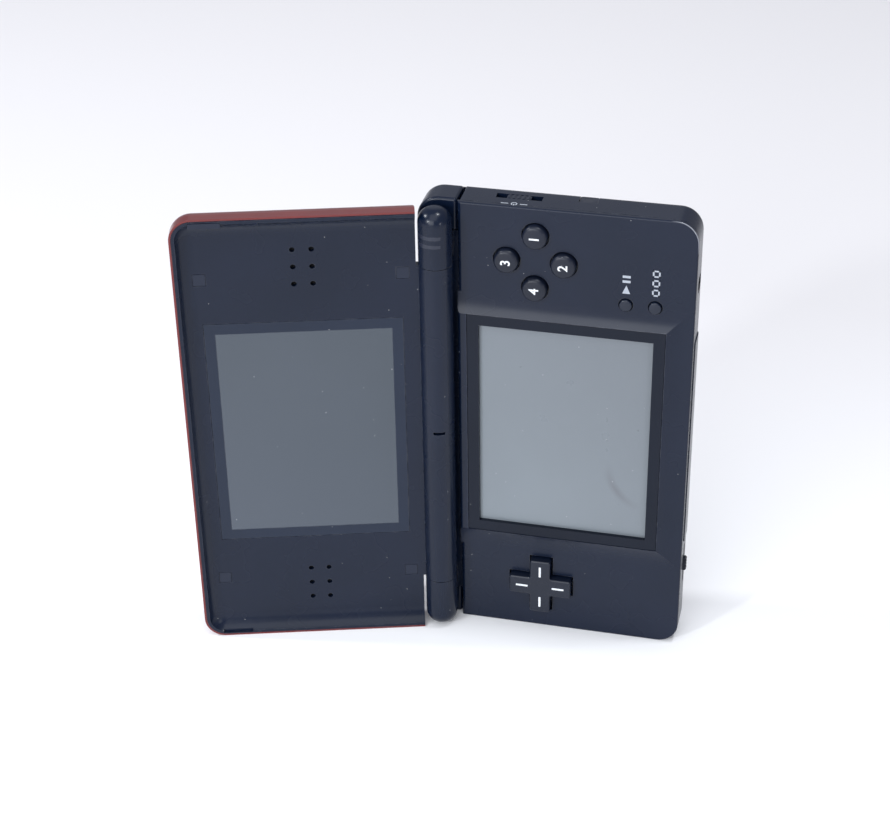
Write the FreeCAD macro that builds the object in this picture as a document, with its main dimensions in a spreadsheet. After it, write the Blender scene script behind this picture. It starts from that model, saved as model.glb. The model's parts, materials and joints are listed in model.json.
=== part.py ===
import FreeCAD, Part
import os
import re

# A folding handheld game with two screens, standing on its side edge and open like a book.
# The hinge axis is vertical (Z). The base runs along +X with its buttons facing -Y; the lid runs
# along -X, turned out of line by what the hinge has left to go before it is flat.
# Every piece is first drawn around the hinge axis at X = Y = 0 with the lid flat open, then
# placed: lid pieces turn about the axis, and everything shifts so that the middle of the base's
# lower end face, on which the game stands, is the origin.

doc = FreeCAD.newDocument("folding_game")
sheet = doc.addObject("Spreadsheet::Sheet", "sizes")

SIZES = [
    # overall
    ("case_width", 133.0, "along the hinge, both halves"),
    ("front_reach", 67.9, "hinge axis to the base's front wall"),
    ("rear_margin", 1.5, "base's rear wall behind the hinge barrel"),
    ("lid_overhang", 0.4, "lid's far edge beyond the base's front wall"),
    ("hinge_margin", 0.6, "hinge barrel to the lid's near edge, and to the deck"),
    ("base_depth", 12.0, "base, deck to underside"),
    ("lid_depth", 8.6, "lid, rim to outer face"),
    ("deck_level", 3.5, "deck below the hinge axis"),
    ("closed_gap", 0.3, "between the lid's rim and the deck when closed"),
    ("open_angle", 163.5, "between the inner faces at the open stop"),
    ("corner_radius", 6.0, "outline corners"),
    ("base_rounding", 3.2, "underside edge of the base"),
    ("lid_rounding", 5.7, "outer edge of the lid"),
    ("deck_rounding", 0.45, "edge of the deck"),
    ("hinge_rounding", 1.0, "edge of the deck and plateau beside the hinge"),
    ("wall", 1.5, "side walls"),
    ("floor_wall", 1.3, "outer faces of both halves"),
    ("deck_wall", 1.3, "deck and inner lid shell"),
    ("seam", 0.15, "parting line between shells"),
    # hinge
    ("barrel_radius", 4.5, "hinge barrel"),
    ("barrel_end", 0.4, "barrel end inside the case's end"),
    ("barrel_dome", 3.9, "rounding of the barrel's ends"),
    ("knuckle_length", 16.5, "case end to the barrel's split"),
    ("knuckle_gap", 0.1, "each side of a split"),
    ("knuckle_free", 9.0, "end of the barrel that stands free of the shelf"),
    ("shelf_gap", 0.5, "barrel to the shelf under it"),
    ("barrel_bore", 2.9, "inside of the middle barrel"),
    ("pin_radius", 1.5, "hinge pins"),
    ("pin_reach", 8.0, "hinge pin each side of the split"),
    ("running", 0.05, "radial clearance of a turning fit"),
    ("bush_length", 11.0, "hinge bush and click unit"),
    # screens
    ("screen_short", 46.8, "visible screen, hinge to front"),
    ("screen_long", 62.8, "visible screen, along the hinge"),
    ("base_screen_shift", 0.25, "lower screen centre beyond the middle of the front reach"),
    ("lid_screen_shift", 1.05, "upper screen centre beyond the middle of the lid's reach"),
    ("bezel_border", 3.2, "frame around a screen"),
    ("bezel_depth", 1.2, "frame thickness"),
    ("panel_depth", 0.7, "touch panel and upper window"),
    ("panel_overlap", 0.9, "panel under the frame, each side"),
    ("lcd_depth", 2.0, "screen module"),
    ("plateau_rise", 1.4, "screen surround above the deck"),
    ("slope_width", 6.0, "hollow slope at the plateau's ends"),
    ("front_slope", 6.2, "hollow slope at the plateau's front"),
    ("slip", 0.12, "assembly clearance round loose pieces"),
    # lid inner shell
    ("lip", 0.55, "outer shell's visible lip"),
    ("lip_drop", 0.15, "lip below the inner shell's rim"),
    ("rim_width", 0.87, "flat rim of the inner shell"),
    ("face_drop", 2.7, "rim down to the lid's inner face"),
    ("cove_width", 4.4, "hollow between rim and face"),
    ("neck_depth", 2.0, "web between the lid and its barrel"),
    ("speaker_span", 50.7, "speaker centres from the middle"),
    ("speaker_shift", 0.65, "speaker centres nearer the hinge than the screen's"),
    ("speaker_pitch", 5.0, "between speaker holes"),
    ("speaker_hole", 0.75, "speaker hole radius"),
    ("speaker_radius", 6.6, "speaker can"),
    ("speaker_depth", 2.6, "speaker can"),
    ("pad_width", 3.5, "screw cover pads"),
    ("pad_depth", 0.5, "screw cover pads"),
    ("pad_near", 8.6, "near pads from the hinge axis"),
    ("pad_margin", 6.7, "far pads from the lid's far edge"),
    ("pad_span", 47.8, "pads from the middle"),
    ("bumper_margin", 13.6, "corner bumper's start from the lid's far edge"),
    ("bumper_length", 8.5, "corner bumper"),
    ("bumper_width", 1.7, "corner bumper"),
    ("bumper_depth", 0.7, "corner bumper seat"),
    ("bumper_proud", 0.15, "bumper above the rim"),
    ("slot_long", 3.3, "microphone slot"),
    ("slot_short", 0.9, "microphone slot"),
    # controls on the deck
    ("pad_key_x", 28.4, "direction pad centre from the hinge axis"),
    ("pad_key_z", 15.1, "direction pad centre from the lower end"),
    ("pad_key_span", 17.6, "direction pad across its arms"),
    ("pad_key_arm", 5.8, "arm width"),
    ("pad_key_rise", 2.3, "direction pad above the deck"),
    ("pad_rounding", 0.4, "edges of the direction pad's top"),
    ("pivot_disc", 2.0, "direction pad's pivot piece, radius"),
    ("tilt_room", 0.8, "between the deck and the direction pad's skirt"),
    ("skirt_depth", 0.4, "direction pad's skirt"),
    ("key_gap", 0.45, "round a key in its hole"),
    ("cluster_x", 25.8, "button group centre from the hinge axis"),
    ("cluster_z", 15.3, "button group centre from the upper end"),
    ("cluster_pitch", 7.55, "button from the group's centre"),
    ("key_radius", 3.35, "round buttons"),
    ("key_rise", 2.15, "round buttons above the deck"),
    ("key_rounding", 0.9, "edge of the round buttons"),
    ("menu_x", 49.8, "first small button from the hinge axis"),
    ("menu_pitch", 7.7, "between the small buttons"),
    ("menu_z", 25.2, "small buttons from the upper end"),
    ("menu_radius", 1.65, "small buttons"),
    ("menu_rise", 0.85, "small buttons above the deck"),
    ("menu_gap", 0.3, "round a small button"),
    ("flange", 0.8, "button flange beyond the button"),
    ("flange_depth", 0.7, "button flange"),
    ("flange_drop", 0.15, "flange under the deck"),
    ("travel_room", 1.0, "free height under a button"),
    # inside the base
    ("board_level", 7.2, "main board below the hinge axis"),
    ("board_depth", 0.9, "main board"),
    ("rubber", 0.35, "contact sheets"),
    # shoulder buttons
    ("shoulder_set", 0.1, "shoulder button's front edge behind the deck's near edge"),
    ("shoulder_rounding", 0.8, "edges of the shoulder buttons and of the wall beside them"),
    ("shoulder_length", 25.5, "shoulder button along the rear"),
    ("shoulder_gap", 0.6, "free travel at the end wall"),
    ("shoulder_floor", 0.9, "underside left under the button"),
    ("shoulder_wall", 1.3, "shoulder button's skin"),
    ("pivot_x", 2.6, "shoulder pivot behind the hinge axis"),
    ("pivot_z", 22.6, "shoulder pivot from the case's end"),
    ("pivot_radius", 0.8, "shoulder pin"),
    ("ear", 1.9, "material round the shoulder pin"),
    # end wall
    ("stylus_x", 38.2, "stylus from the hinge axis"),
    ("stylus_rise", 3.2, "stylus axis above the underside"),
    ("stylus_radius", 2.2, "stylus"),
    ("stylus_length", 87.5, "stylus"),
    ("stylus_tip", 0.8, "stylus tip"),
    ("stylus_room", 0.2, "radial room in the stylus tunnel"),
    ("stylus_head", 4.3, "stylus head across"),
    ("head_length", 5.0, "stylus head along the stylus"),
    ("head_gap", 0.35, "round the stylus head"),
    ("stylus_sink", 0.4, "stylus end inside the end wall"),
    ("power_x", 20.4, "power slot centre from the hinge axis"),
    ("power_y", 6.0, "power slot centre below the deck"),
    ("power_length", 12.2, "power slot"),
    ("power_width", 2.6, "power slot"),
    ("power_travel", 2.2, "power slider"),
    ("power_grip", 6.5, "raised grip of the power slider"),
    # front wall
    ("volume_z", 24.0, "volume slot centre from the lower end"),
    ("volume_length", 13.2, "volume slot"),
    ("volume_width", 1.7, "volume slot"),
    ("volume_knob", 4.2, "volume knob"),
    ("volume_proud", 0.9, "volume knob out of the wall"),
    ("bay_start", 33.2, "cartridge bay from the lower end"),
    ("bay_length", 63.7, "cartridge bay along the front"),
    ("bay_deep", 23.0, "cartridge bay into the base"),
    ("bay_high", 7.7, "cartridge bay"),
    ("cover_proud", 0.25, "dust cover out of the wall"),
    ("jack_z", 20.0, "headphone socket from the upper end"),
    ("jack_bore", 1.8, "headphone socket"),
    ("jack_nose", 2.5, "headphone socket's nose"),
    ("jack_body", 5.6, "headphone socket's body"),
    ("jack_length", 12.0, "headphone socket's body"),
    # rear wall
    ("card_width", 34.6, "game card slot"),
    ("card_high", 4.6, "game card slot"),
    ("card_deep", 32.0, "game card slot"),
    ("card_rise", 4.3, "slot centre above the underside"),
    ("card_wall", 0.6, "card slot housing"),
    ("port_z", 36.0, "charging port from the upper end"),
    ("port_width", 7.0, "charging port body"),
    ("port_high", 4.2, "charging port body"),
    ("port_length", 6.0, "charging port body"),
    ("port_mouth", 5.2, "charging port opening"),
    ("port_slit", 2.2, "charging port opening"),
    # battery and fasteners
    ("battery_x", 14.0, "battery from the hinge axis"),
    ("battery_long", 38.0, "battery"),
    ("battery_wide", 27.0, "battery"),
    ("battery_deep", 4.3, "battery"),
    ("battery_z", 4.5, "battery from the lower end"),
    ("hatch_border", 1.5, "battery cover round the battery"),
    ("hatch_tab", 7.0, "battery cover's screw tab"),
    ("boss_depth", 2.9, "boss for the battery cover's screw"),
    ("screw_radius", 0.8, "case screws"),
    ("head_radius", 1.7, "case screw heads"),
    ("head_depth", 0.8, "case screw heads"),
    ("post_radius", 2.0, "screw posts"),
    ("post_front", 5.2, "front screw posts from the front wall"),
    ("post_end", 5.6, "front screw posts from the case's ends"),
    ("post_rear", 3.6, "rear screw posts and feet from the deck's near edge"),
    ("post_beside", 2.8, "rear screw posts beside the lower screen's frame"),
    ("foot_radius", 2.2, "rubber feet"),
    ("foot_front", 5.6, "front feet from the front wall"),
    ("foot_end", 14.0, "front feet from the case's ends"),
    ("foot_beside", 10.1, "rear feet inside the ends of the lower screen's frame"),
    ("foot_sink", 0.4, "rubber feet into the underside"),
    ("foot_proud", 0.25, "rubber feet out of the underside"),
    # indicator lights on the upper knuckle
    ("light_first", 7.4, "first light from the upper end"),
    ("light_pitch", 2.4, "between the lights"),
    ("light_height", 0.9, "light window"),
    ("light_depth", 0.7, "light window"),
    ("light_reach", 2.4, "end of the light windows in front of the hinge axis"),
    ("cut_past", 1.0, "how far a cutter runs past a face"),
    ("root_depth", 0.2, "how far a rib or post reaches into the wall it stands on"),
    ("shelf_relief", 0.3, "hinge shelf inside the rear edge"),
    ("saddle_share", 0.8, "knuckle saddles' half width, as a share of the barrel's radius"),
    ("saddle_start", 0.5, "top of the saddles, as a share of the barrel's radius"),
    ("post_gap", 0.8, "between the screw posts and the floor"),
    ("key_room", 0.405, "round a round button in its hole"),
    ("menu_rounding", 0.3, "edge of the small buttons"),
    ("stem_share", 0.5, "radius of a key's stem, as a share of the key's"),
    ("pad_foot", 0.1, "direction pad's arms below the deck"),
    ("skirt_margin", 0.9, "direction pad's skirt outside its arms"),
    ("pivot_gap", 0.15, "between the skirt and the pivot piece"),
    ("pivot_room", 0.25, "between the pivot piece and the contact sheet"),
    ("sheet_margin", 2.0, "contact sheets round the pad and beside the small buttons"),
    ("sheet_edge", 0.5, "contact sheets round the buttons"),
    ("tunnel_wall", 0.7, "stylus tunnel"),
    ("tip_length", 6.0, "tapered end of the stylus"),
    ("rib", 1.2, "ribs inside the tray"),
    ("rib_drop", 1.5, "cartridge bay's ribs below the bay's top"),
    ("boss_wall", 0.4, "floor bosses round the screw posts"),
    ("boss_half", 2.0, "half of the battery cover's screw boss"),
    ("pin_cover", 0.5, "case under the shoulder pins"),
    ("bezel_sink", 0.15, "lower screen's frame below the plateau"),
    ("lcd_side", 0.8, "lower screen module beside the touch panel"),
    ("lcd_end", 1.0, "lower screen module past the touch panel's ends"),
    ("lcd_edge", 1.3, "upper screen module round its window"),
    ("board_gap", 0.3, "round the posts and the connector in the board"),
    ("board_margin", 2.0, "board inside the walls and round the cartridge bay"),
    ("board_ease", 0.5, "round the headphone socket in the board"),
    ("board_front", 7.0, "board from the front wall"),
    ("shoulder_slack", 0.3, "beside the shoulder buttons"),
    ("shoulder_lift", 0.2, "above and below the shoulder buttons"),
    ("spring_room", 3.0, "height of the room for a shoulder spring"),
    ("spring_wall", 0.1, "least wall round a shoulder spring's room"),
    ("spring_gap", 0.3, "round a shoulder spring"),
    ("slide_gap", 0.2, "slides from the end of their slot and from the wall"),
    ("slide_slack", 0.5, "power slide shorter than its way"),
    ("slide_room", 0.3, "slides across their slots"),
    ("slide_sink", 0.6, "slides' plates below the wall's face"),
    ("grip_margin", 0.5, "power slide's grip inside its slot"),
    ("grip_proud", 0.1, "power slide's grip out of the wall"),
    ("back_depth", 1.2, "volume slide's back plate"),
    ("back_margin", 0.8, "volume slide's back plate beside the slot"),
    ("back_ends", 0.7, "volume slide's back plate past the knob"),
    ("cover_rounding", 1.92, "cartridge slot cover's long edge"),
    ("connector_gap", 0.3, "between the cartridge bay and its connector"),
    ("connector_deep", 1.9, "cartridge connector"),
    ("connector_edge", 0.5, "cartridge connector inside the bay's height"),
    ("connector_ends", 3.0, "cartridge connector inside the bay's ends"),
    ("jack_gap", 0.3, "between the front wall and the headphone socket's body"),
    ("jack_sink", 0.1, "headphone socket's nose inside the front wall's face"),
    ("jack_back", 1.3, "back wall of the headphone socket"),
    ("card_back", 2.0, "back wall of the card slot"),
    ("port_sink", 0.1, "charging port inside the rear wall's face"),
    ("port_back", 1.0, "back wall of the charging port"),
    ("battery_gap", 0.3, "between the battery and its cover"),
    ("head_sink", 0.1, "screw heads inside the underside"),
    ("screw_bite", 3.5, "case screws into their posts"),
    ("plate_gap", 0.05, "between the lid's two shells"),
    ("lip_gap", 0.08, "between the red lip and the inner shell"),
    ("bore_end", 0.3, "lid screws' bores from the lid's outer wall"),
    ("lid_screw_end", 0.6, "lid screws from the lid's outer wall"),
    ("cove_cutter", 8.0, "height of the form that hollows the inner shell"),
    ("bezel_trim", 0.3, "upper screen's frame narrower than the lower one's"),
    ("window_ledge", 1.5, "opening behind the upper screen, round its window"),
    ("window_sink", 0.05, "upper window below its frame"),
    ("slot_reach", 0.3, "microphone slot into the barrel's bore"),
    ("bumper_edge", 0.4, "corner bumper from the red lip"),
    ("mic_gap", 0.4, "round the microphone in the barrel"),
    ("mic_length", 3.2, "microphone"),
    ("ribbon_gap", 0.3, "round the rolled cable in the barrel"),
    ("ribbon_depth", 0.6, "rolled cable's layers"),
    ("ribbon_shift", 22.0, "rolled cable from the middle"),
    ("ribbon_length", 24.0, "rolled cable along the barrel"),
]

# Places that follow from other sizes.
DERIVED = {
    "rear_reach": "(barrel_radius + rear_margin)",
    "lid_start": "(barrel_radius + hinge_margin)",
    "lid_reach": "(front_reach + lid_overhang)",
    "base_screen_x": "(front_reach / 2 + base_screen_shift)",
    "lid_screen_x": "(lid_reach / 2 + lid_screen_shift)",
    "speaker_x": "(lid_screen_x - speaker_shift)",
    "pad_far": "(lid_reach - pad_margin)",
    "bumper_start": "(lid_reach - bumper_margin)",
    "shoulder_x": "(lid_start - shoulder_set)",
}

for row, (alias, value, note) in enumerate(SIZES, start=1):
    sheet.set(f"A{row}", note)
    sheet.set(f"B{row}", str(value))
    sheet.setAlias(f"B{row}", alias)
doc.recompute()

ALIASES = {alias for alias, _, _ in SIZES}
NEAR = 0.01
WORD = re.compile(r"[a-z]\w*")

# Places that many pieces share, as formulas of the sheet's sizes.
UNDERSIDE = "(deck_level + base_depth)"
UNDER_PAST = f"({UNDERSIDE} + cut_past)"
PARTING = "(deck_level + deck_wall)"
SHELF = "(barrel_radius + shelf_gap)"
SHELF_UNDER = f"({SHELF} + deck_wall)"
SPLIT = "knuckle_length"
MIDDLE = "(case_width / 2)"
RIM = "(deck_level - closed_gap)"
FACE = f"({RIM} - face_drop)"
OUTER = f"(lid_depth - {RIM})"
PLATEAU = "(deck_level - plateau_rise)"


def bind(thing, prop, formula):
    """Tie a property to a formula of the sheet's sizes and what follows from them."""
    while any(word in DERIVED for word in WORD.findall(formula)):
        formula = WORD.sub(lambda word: DERIVED.get(word[0], word[0]), formula)
    tied = WORD.sub(lambda word: "sizes." + word[0] if word[0] in ALIASES else word[0], formula)
    thing.setExpression(prop, tied)


def size(alias):
    return float(sheet.get(alias))


def other_end(low, high):
    """The same stretch of the hinge line, measured from the other end of the case."""
    return (f"case_width - ({high})", f"case_width - ({low})")


def about(centre, width):
    """A stretch of the given width about a centre."""
    return (f"{centre} - ({width}) / 2", f"{centre} + ({width}) / 2")


def block(name, x, y, z):
    """A box between two formulas along each axis."""
    thing = doc.addObject("Part::Box", name)
    for prop, axis, (low, high) in zip(("Length", "Width", "Height"), "xyz", (x, y, z)):
        bind(thing, prop, f"({high}) - ({low})")
        bind(thing, f"Placement.Base.{axis}", low)
    return thing


TURN = {
    "x": FreeCAD.Rotation(FreeCAD.Vector(0, 1, 0), 90),
    "y": FreeCAD.Rotation(FreeCAD.Vector(1, 0, 0), -90),
    "z": FreeCAD.Rotation(),
}


def rod(name, along, radius, centre, span):
    """A cylinder along one axis; centre gives the other two coordinates in x, y, z order."""
    thing = doc.addObject("Part::Cylinder", name)
    thing.Placement = FreeCAD.Placement(FreeCAD.Vector(), TURN[along])
    bind(thing, "Radius", radius)
    bind(thing, "Height", f"({span[1]}) - ({span[0]})")
    places = dict(zip([axis for axis in "xyz" if axis != along], centre))
    places[along] = span[0]
    for axis, formula in places.items():
        bind(thing, f"Placement.Base.{axis}", formula)
    return thing


def fuse(name, *pieces):
    thing = doc.addObject("Part::MultiFuse", name)
    thing.Shapes = list(pieces)
    thing.Refine = True
    return thing


def cut(name, whole, *tools):
    thing = doc.addObject("Part::Cut", name)
    thing.Base = whole
    thing.Tool = tools[0] if len(tools) == 1 else fuse(name + "_cutters", *tools)
    return thing


def common(name, first, second):
    thing = doc.addObject("Part::Common", name)
    thing.Base = first
    thing.Tool = second
    return thing


def rounded(name, whole, radius, wanted):
    """Fillet the edges that the test picks."""
    doc.recompute()
    thing = doc.addObject("Part::Fillet", name)
    thing.Base = whole
    edges = enumerate(whole.Shape.Edges, start=1)
    thing.Edges = [(number, radius, radius) for number, edge in edges if wanted(edge.BoundBox)]
    return thing


def along_y(box):
    return box.YLength > NEAR and box.XLength < NEAR and box.ZLength < NEAR


def at_level(level):
    return lambda box: abs(box.YMin - level) < NEAR and abs(box.YMax - level) < NEAR


def far_corner(box):
    """An edge along Y on the far side of the lid."""
    return along_y(box) and box.XMin < -size("screen_short") / 2


def shell_form(name, x, y, z, corner, rounding, corners=along_y):
    """A block with rounded outline corners and a rounded outer face."""
    plain = block(name + "_block", x, y, z)
    outline = rounded(name + "_outline", plain, corner, corners)
    doc.recompute()
    return rounded(name, outline, rounding, at_level(outline.Shape.BoundBox.YMax))


finished = []


def keep(thing, name, half):
    """Give a finished piece of the base or of the lid its node and its place."""
    node = doc.addObject("Part::Compound", name)
    node.Links = [thing]
    node.Label = name
    if half == "lid":
        node.Placement = FreeCAD.Placement(
            FreeCAD.Vector(), FreeCAD.Rotation(FreeCAD.Vector(0, 0, 1), 1)
        )
        bind(node, "Placement.Rotation.Angle", "180 - open_angle")
    bind(node, "Placement.Base.x", "(rear_reach - front_reach) / 2")
    bind(node, "Placement.Base.y", "-deck_level - base_depth / 2")
    finished.append(node)
    return node


# ---------------------------------------------------------------- the base's outer form

case_span = ("0", "case_width")
base_form_block = shell_form(
    "base_form_raw",
    ("-rear_reach", "front_reach"),
    ("deck_level", UNDERSIDE),
    case_span,
    size("corner_radius"),
    size("base_rounding"),
)
base_form = rounded(
    "base_form", base_form_block, size("deck_rounding"), at_level(size("deck_level"))
)

# ---------------------------------------------------------------- upper shell of the base

bezel_x = about("base_screen_x", "screen_short + 2 * bezel_border")
bezel_z = about(MIDDLE, "screen_long + 2 * bezel_border")


def eased_beside_hinge(name, x, y, z):
    """A block whose edge nearest the hinge, on the side of the keys, is rounded."""
    plain = block(name + "_block", x, y, z)
    doc.recompute()
    corner = plain.Shape.BoundBox
    return rounded(
        name,
        plain,
        size("hinge_rounding"),
        lambda box: box.XMax < corner.XMin + NEAR and box.YMax < corner.YMin + NEAR,
    )


deck_zone = eased_beside_hinge(
    "deck_zone", ("lid_start", "front_reach + cut_past"), ("deck_level", PARTING), case_span
)
deck = common("deck", base_form, deck_zone)
step = block(
    "hinge_step",
    ("lid_start", "lid_start + deck_wall"),
    ("deck_level + hinge_rounding", SHELF_UNDER),
    ("knuckle_free", "case_width - knuckle_free"),
)
shelf = block(
    "hinge_shelf",
    ("-rear_reach + shelf_relief", "lid_start + deck_wall"),
    (SHELF, SHELF_UNDER),
    ("knuckle_free", "case_width - knuckle_free"),
)

# The plateau round the lower screen falls to the deck in hollow slopes with mitred corners.
SLOPE_ARC = "((slope_width ^ 2 + plateau_rise ^ 2) / (2 * plateau_rise))"
FRONT_ARC = "((front_slope ^ 2 + plateau_rise ^ 2) / (2 * plateau_rise))"
plateau_block = eased_beside_hinge(
    "plateau_block",
    ("lid_start", f"{bezel_x[1]} + front_slope"),
    (PLATEAU, "deck_level + hinge_rounding"),
    (f"{bezel_z[0]} - slope_width", f"{bezel_z[1]} + slope_width"),
)
slope_cutters = [
    rod(
        "lower_slope",
        "x",
        SLOPE_ARC,
        (f"deck_level - {SLOPE_ARC}", f"{bezel_z[0]} - slope_width"),
        ("0", "front_reach + cut_past"),
    ),
    rod(
        "upper_slope",
        "x",
        SLOPE_ARC,
        (f"deck_level - {SLOPE_ARC}", f"{bezel_z[1]} + slope_width"),
        ("0", "front_reach + cut_past"),
    ),
    rod(
        "front_slope_cut",
        "z",
        FRONT_ARC,
        (f"{bezel_x[1]} + front_slope", f"deck_level - {FRONT_ARC}"),
        case_span,
    ),
]
plateau = cut("plateau", plateau_block, *slope_cutters)

knuckles = []
knuckle_spans = {
    "lower": ("barrel_end", f"{SPLIT} - knuckle_gap"),
    "upper": other_end("barrel_end", f"{SPLIT} - knuckle_gap"),
}
saddle_spans = {
    "lower": ("knuckle_free", f"{SPLIT} - knuckle_gap"),
    "upper": other_end("knuckle_free", f"{SPLIT} - knuckle_gap"),
}
for end, span in knuckle_spans.items():
    barrel = rod(f"{end}_knuckle_rod", "z", "barrel_radius", ("0", "0"), span)
    doc.recompute()
    tip = barrel.Shape.BoundBox.ZMin if end == "lower" else barrel.Shape.BoundBox.ZMax
    knuckles.append(
        rounded(
            f"{end}_knuckle",
            barrel,
            size("barrel_dome"),
            lambda box: abs(box.ZMin - tip) < NEAR and abs(box.ZMax - tip) < NEAR,
        )
    )
    knuckles.append(
        block(
            f"{end}_saddle",
            ("-barrel_radius * saddle_share", "barrel_radius * saddle_share"),
            ("barrel_radius * saddle_start", f"{SHELF} + root_depth"),
            saddle_spans[end],
        )
    )

# Screw posts hang from the deck at the four corners of the inside.
post_places = [
    ("front_reach - post_front", "post_end"),
    ("front_reach - post_front", "case_width - post_end"),
    ("lid_start + post_rear", f"{bezel_z[0]} - post_beside"),
    ("lid_start + post_rear", f"{bezel_z[1]} + post_beside"),
]
POST_END = f"({UNDERSIDE} - floor_wall - post_gap)"
posts = [
    rod(f"post_{n}", "y", "post_radius", place, (f"{PARTING} - root_depth", POST_END))
    for n, place in enumerate(post_places)
]
upper_body = fuse("upper_body", deck, step, shelf, plateau, *knuckles, *posts)

# Where the keys go through the deck.
key_places = {
    "up": ("cluster_x", "case_width - cluster_z + cluster_pitch"),
    "left": ("cluster_x - cluster_pitch", "case_width - cluster_z"),
    "right": ("cluster_x + cluster_pitch", "case_width - cluster_z"),
    "down": ("cluster_x", "case_width - cluster_z - cluster_pitch"),
}
menu_places = {
    "start_button": ("menu_x", "case_width - menu_z"),
    "select_button": ("menu_x + menu_pitch", "case_width - menu_z"),
}
through_deck = (f"{PLATEAU} - cut_past", f"{PARTING} + cut_past")
deck_holes = [
    block("bezel_hole", bezel_x, ("0", f"{PARTING} + cut_past"), bezel_z),
    block(
        "pad_hole_long",
        about("pad_key_x", "pad_key_span + 2 * key_gap"),
        through_deck,
        about("pad_key_z", "pad_key_arm + 2 * key_gap"),
    ),
    block(
        "pad_hole_tall",
        about("pad_key_x", "pad_key_arm + 2 * key_gap"),
        through_deck,
        about("pad_key_z", "pad_key_span + 2 * key_gap"),
    ),
]
for where, place in key_places.items():
    deck_holes.append(rod(f"{where}_hole", "y", "key_radius + key_room", place, through_deck))
for where, place in menu_places.items():
    deck_holes.append(rod(f"{where}_hole", "y", "menu_radius + menu_gap", place, through_deck))
for n, place in enumerate(post_places):
    deck_holes.append(
        rod(f"post_bore_{n}", "y", "screw_radius", place, (PARTING, f"{POST_END} + cut_past"))
    )
pin_spans = {
    "lower": (f"{SPLIT} - pin_reach", f"{SPLIT} + pin_reach"),
    "upper": other_end(f"{SPLIT} - pin_reach", f"{SPLIT} + pin_reach"),
}
for end, span in pin_spans.items():
    deck_holes.append(rod(f"{end}_pin_hole", "z", "pin_radius", ("0", "0"), span))


def light_ring(name, radius_outer):
    """Both light windows: arcs of a thin ring on the side of the barrel that faces outwards."""
    rings = []
    for n in (0, 1):
        span = about(f"case_width - light_first - {n} * light_pitch", "light_height")
        outside = rod(f"{name}_{n}_out", "z", radius_outer, ("0", "0"), span)
        inside = rod(f"{name}_{n}_in", "z", "barrel_radius - light_depth", ("0", "0"), span)
        ring = cut(f"{name}_{n}_ring", outside, inside)
        zone = block(
            f"{name}_{n}_zone",
            ("-barrel_radius - cut_past", "light_reach"),
            ("-barrel_radius - cut_past", "0"),
            span,
        )
        rings.append(common(f"{name}_{n}", ring, zone))
    return rings


light_seats = light_ring("light_seat", "barrel_radius + cut_past")
keep(cut("base_upper", upper_body, *deck_holes, *light_seats), "base_upper_shell", "base")
lights = doc.addObject("Part::Compound", "lights")
lights.Links = light_ring("light", "barrel_radius")
keep(lights, "indicator_lights", "base")

# ---------------------------------------------------------------- lower shell of the base

tray = common(
    "tray",
    base_form,
    block(
        "tray_zone",
        ("-rear_reach - cut_past", "front_reach + cut_past"),
        (f"{PARTING} + seam", UNDER_PAST),
        case_span,
    ),
)
cavity = rounded(
    "cavity",
    block(
        "cavity_block",
        ("-rear_reach + wall", "front_reach - wall"),
        ("0", f"{UNDERSIDE} - floor_wall"),
        ("wall", "case_width - wall"),
    ),
    size("corner_radius") - size("wall"),
    along_y,
)
shelf_room = block(
    "shelf_room",
    ("-rear_reach - cut_past", "lid_start + deck_wall + seam"),
    ("0", f"{SHELF_UNDER} + seam"),
    ("knuckle_free - seam", "case_width - knuckle_free + seam"),
)
shoulder_spans = {
    "left": ("0", "shoulder_length"),
    "right": other_end("0", "shoulder_length"),
}
SHOULDER_UNDER = f"({UNDERSIDE} - shoulder_floor)"
shoulder_rooms = [
    block(
        f"{side}_shoulder_room",
        ("-rear_reach - cut_past", "shoulder_x + shoulder_gap / 2"),
        ("0", SHOULDER_UNDER),
        span,
    )
    for side, span in shoulder_spans.items()
]

# The end walls' edges beside the shoulder buttons are rounded.
EASED_X = "(shoulder_x + shoulder_gap / 2)"
eased_edges = []
for side, end, inward in (("left", "0", "+"), ("right", "case_width", "-")):
    centre = f"({end} {inward} shoulder_rounding)"
    outward = (f"{end} - cut_past", centre) if side == "left" else (centre, f"{end} + cut_past")
    corner = block(
        f"{side}_edge_corner",
        (EASED_X, f"{EASED_X} + shoulder_rounding"),
        (PARTING, UNDER_PAST),
        outward,
    )
    arc = rod(
        f"{side}_edge_arc",
        "y",
        "shoulder_rounding",
        (f"{EASED_X} + shoulder_rounding", centre),
        ("0", f"{UNDERSIDE} + 2 * cut_past"),
    )
    eased_edges.append(cut(f"{side}_edge_cutter", corner, arc))

# Ribs and bosses that stand inside the tray.
STYLUS_Y = f"({UNDERSIDE} - stylus_rise)"
stylus_span = ("case_width - stylus_length - stylus_sink", "case_width - stylus_sink")
tunnel = block(
    "tunnel",
    about("stylus_x", "2 * (stylus_radius + stylus_room + tunnel_wall)"),
    (f"{STYLUS_Y} - stylus_radius - stylus_room - tunnel_wall", f"{UNDERSIDE} - floor_wall + root_depth"),
    (f"{stylus_span[0]} - rib", "case_width - wall + root_depth"),
)
bay_y = (f"{UNDERSIDE} - floor_wall - bay_high", f"{UNDERSIDE} - floor_wall")
bay_z = ("bay_start", "bay_start + bay_length")
bay_ribs = [
    block(
        f"bay_rib_{n}",
        ("front_reach - bay_deep", "front_reach - wall + root_depth"),
        (f"{bay_y[0]} + rib_drop", f"{UNDERSIDE} - floor_wall + root_depth"),
        span,
    )
    for n, span in enumerate(
        [(f"{bay_z[0]} - rib", f"{bay_z[0]} - slip"), (f"{bay_z[1]} + slip", f"{bay_z[1]} + rib")]
    )
]
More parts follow.
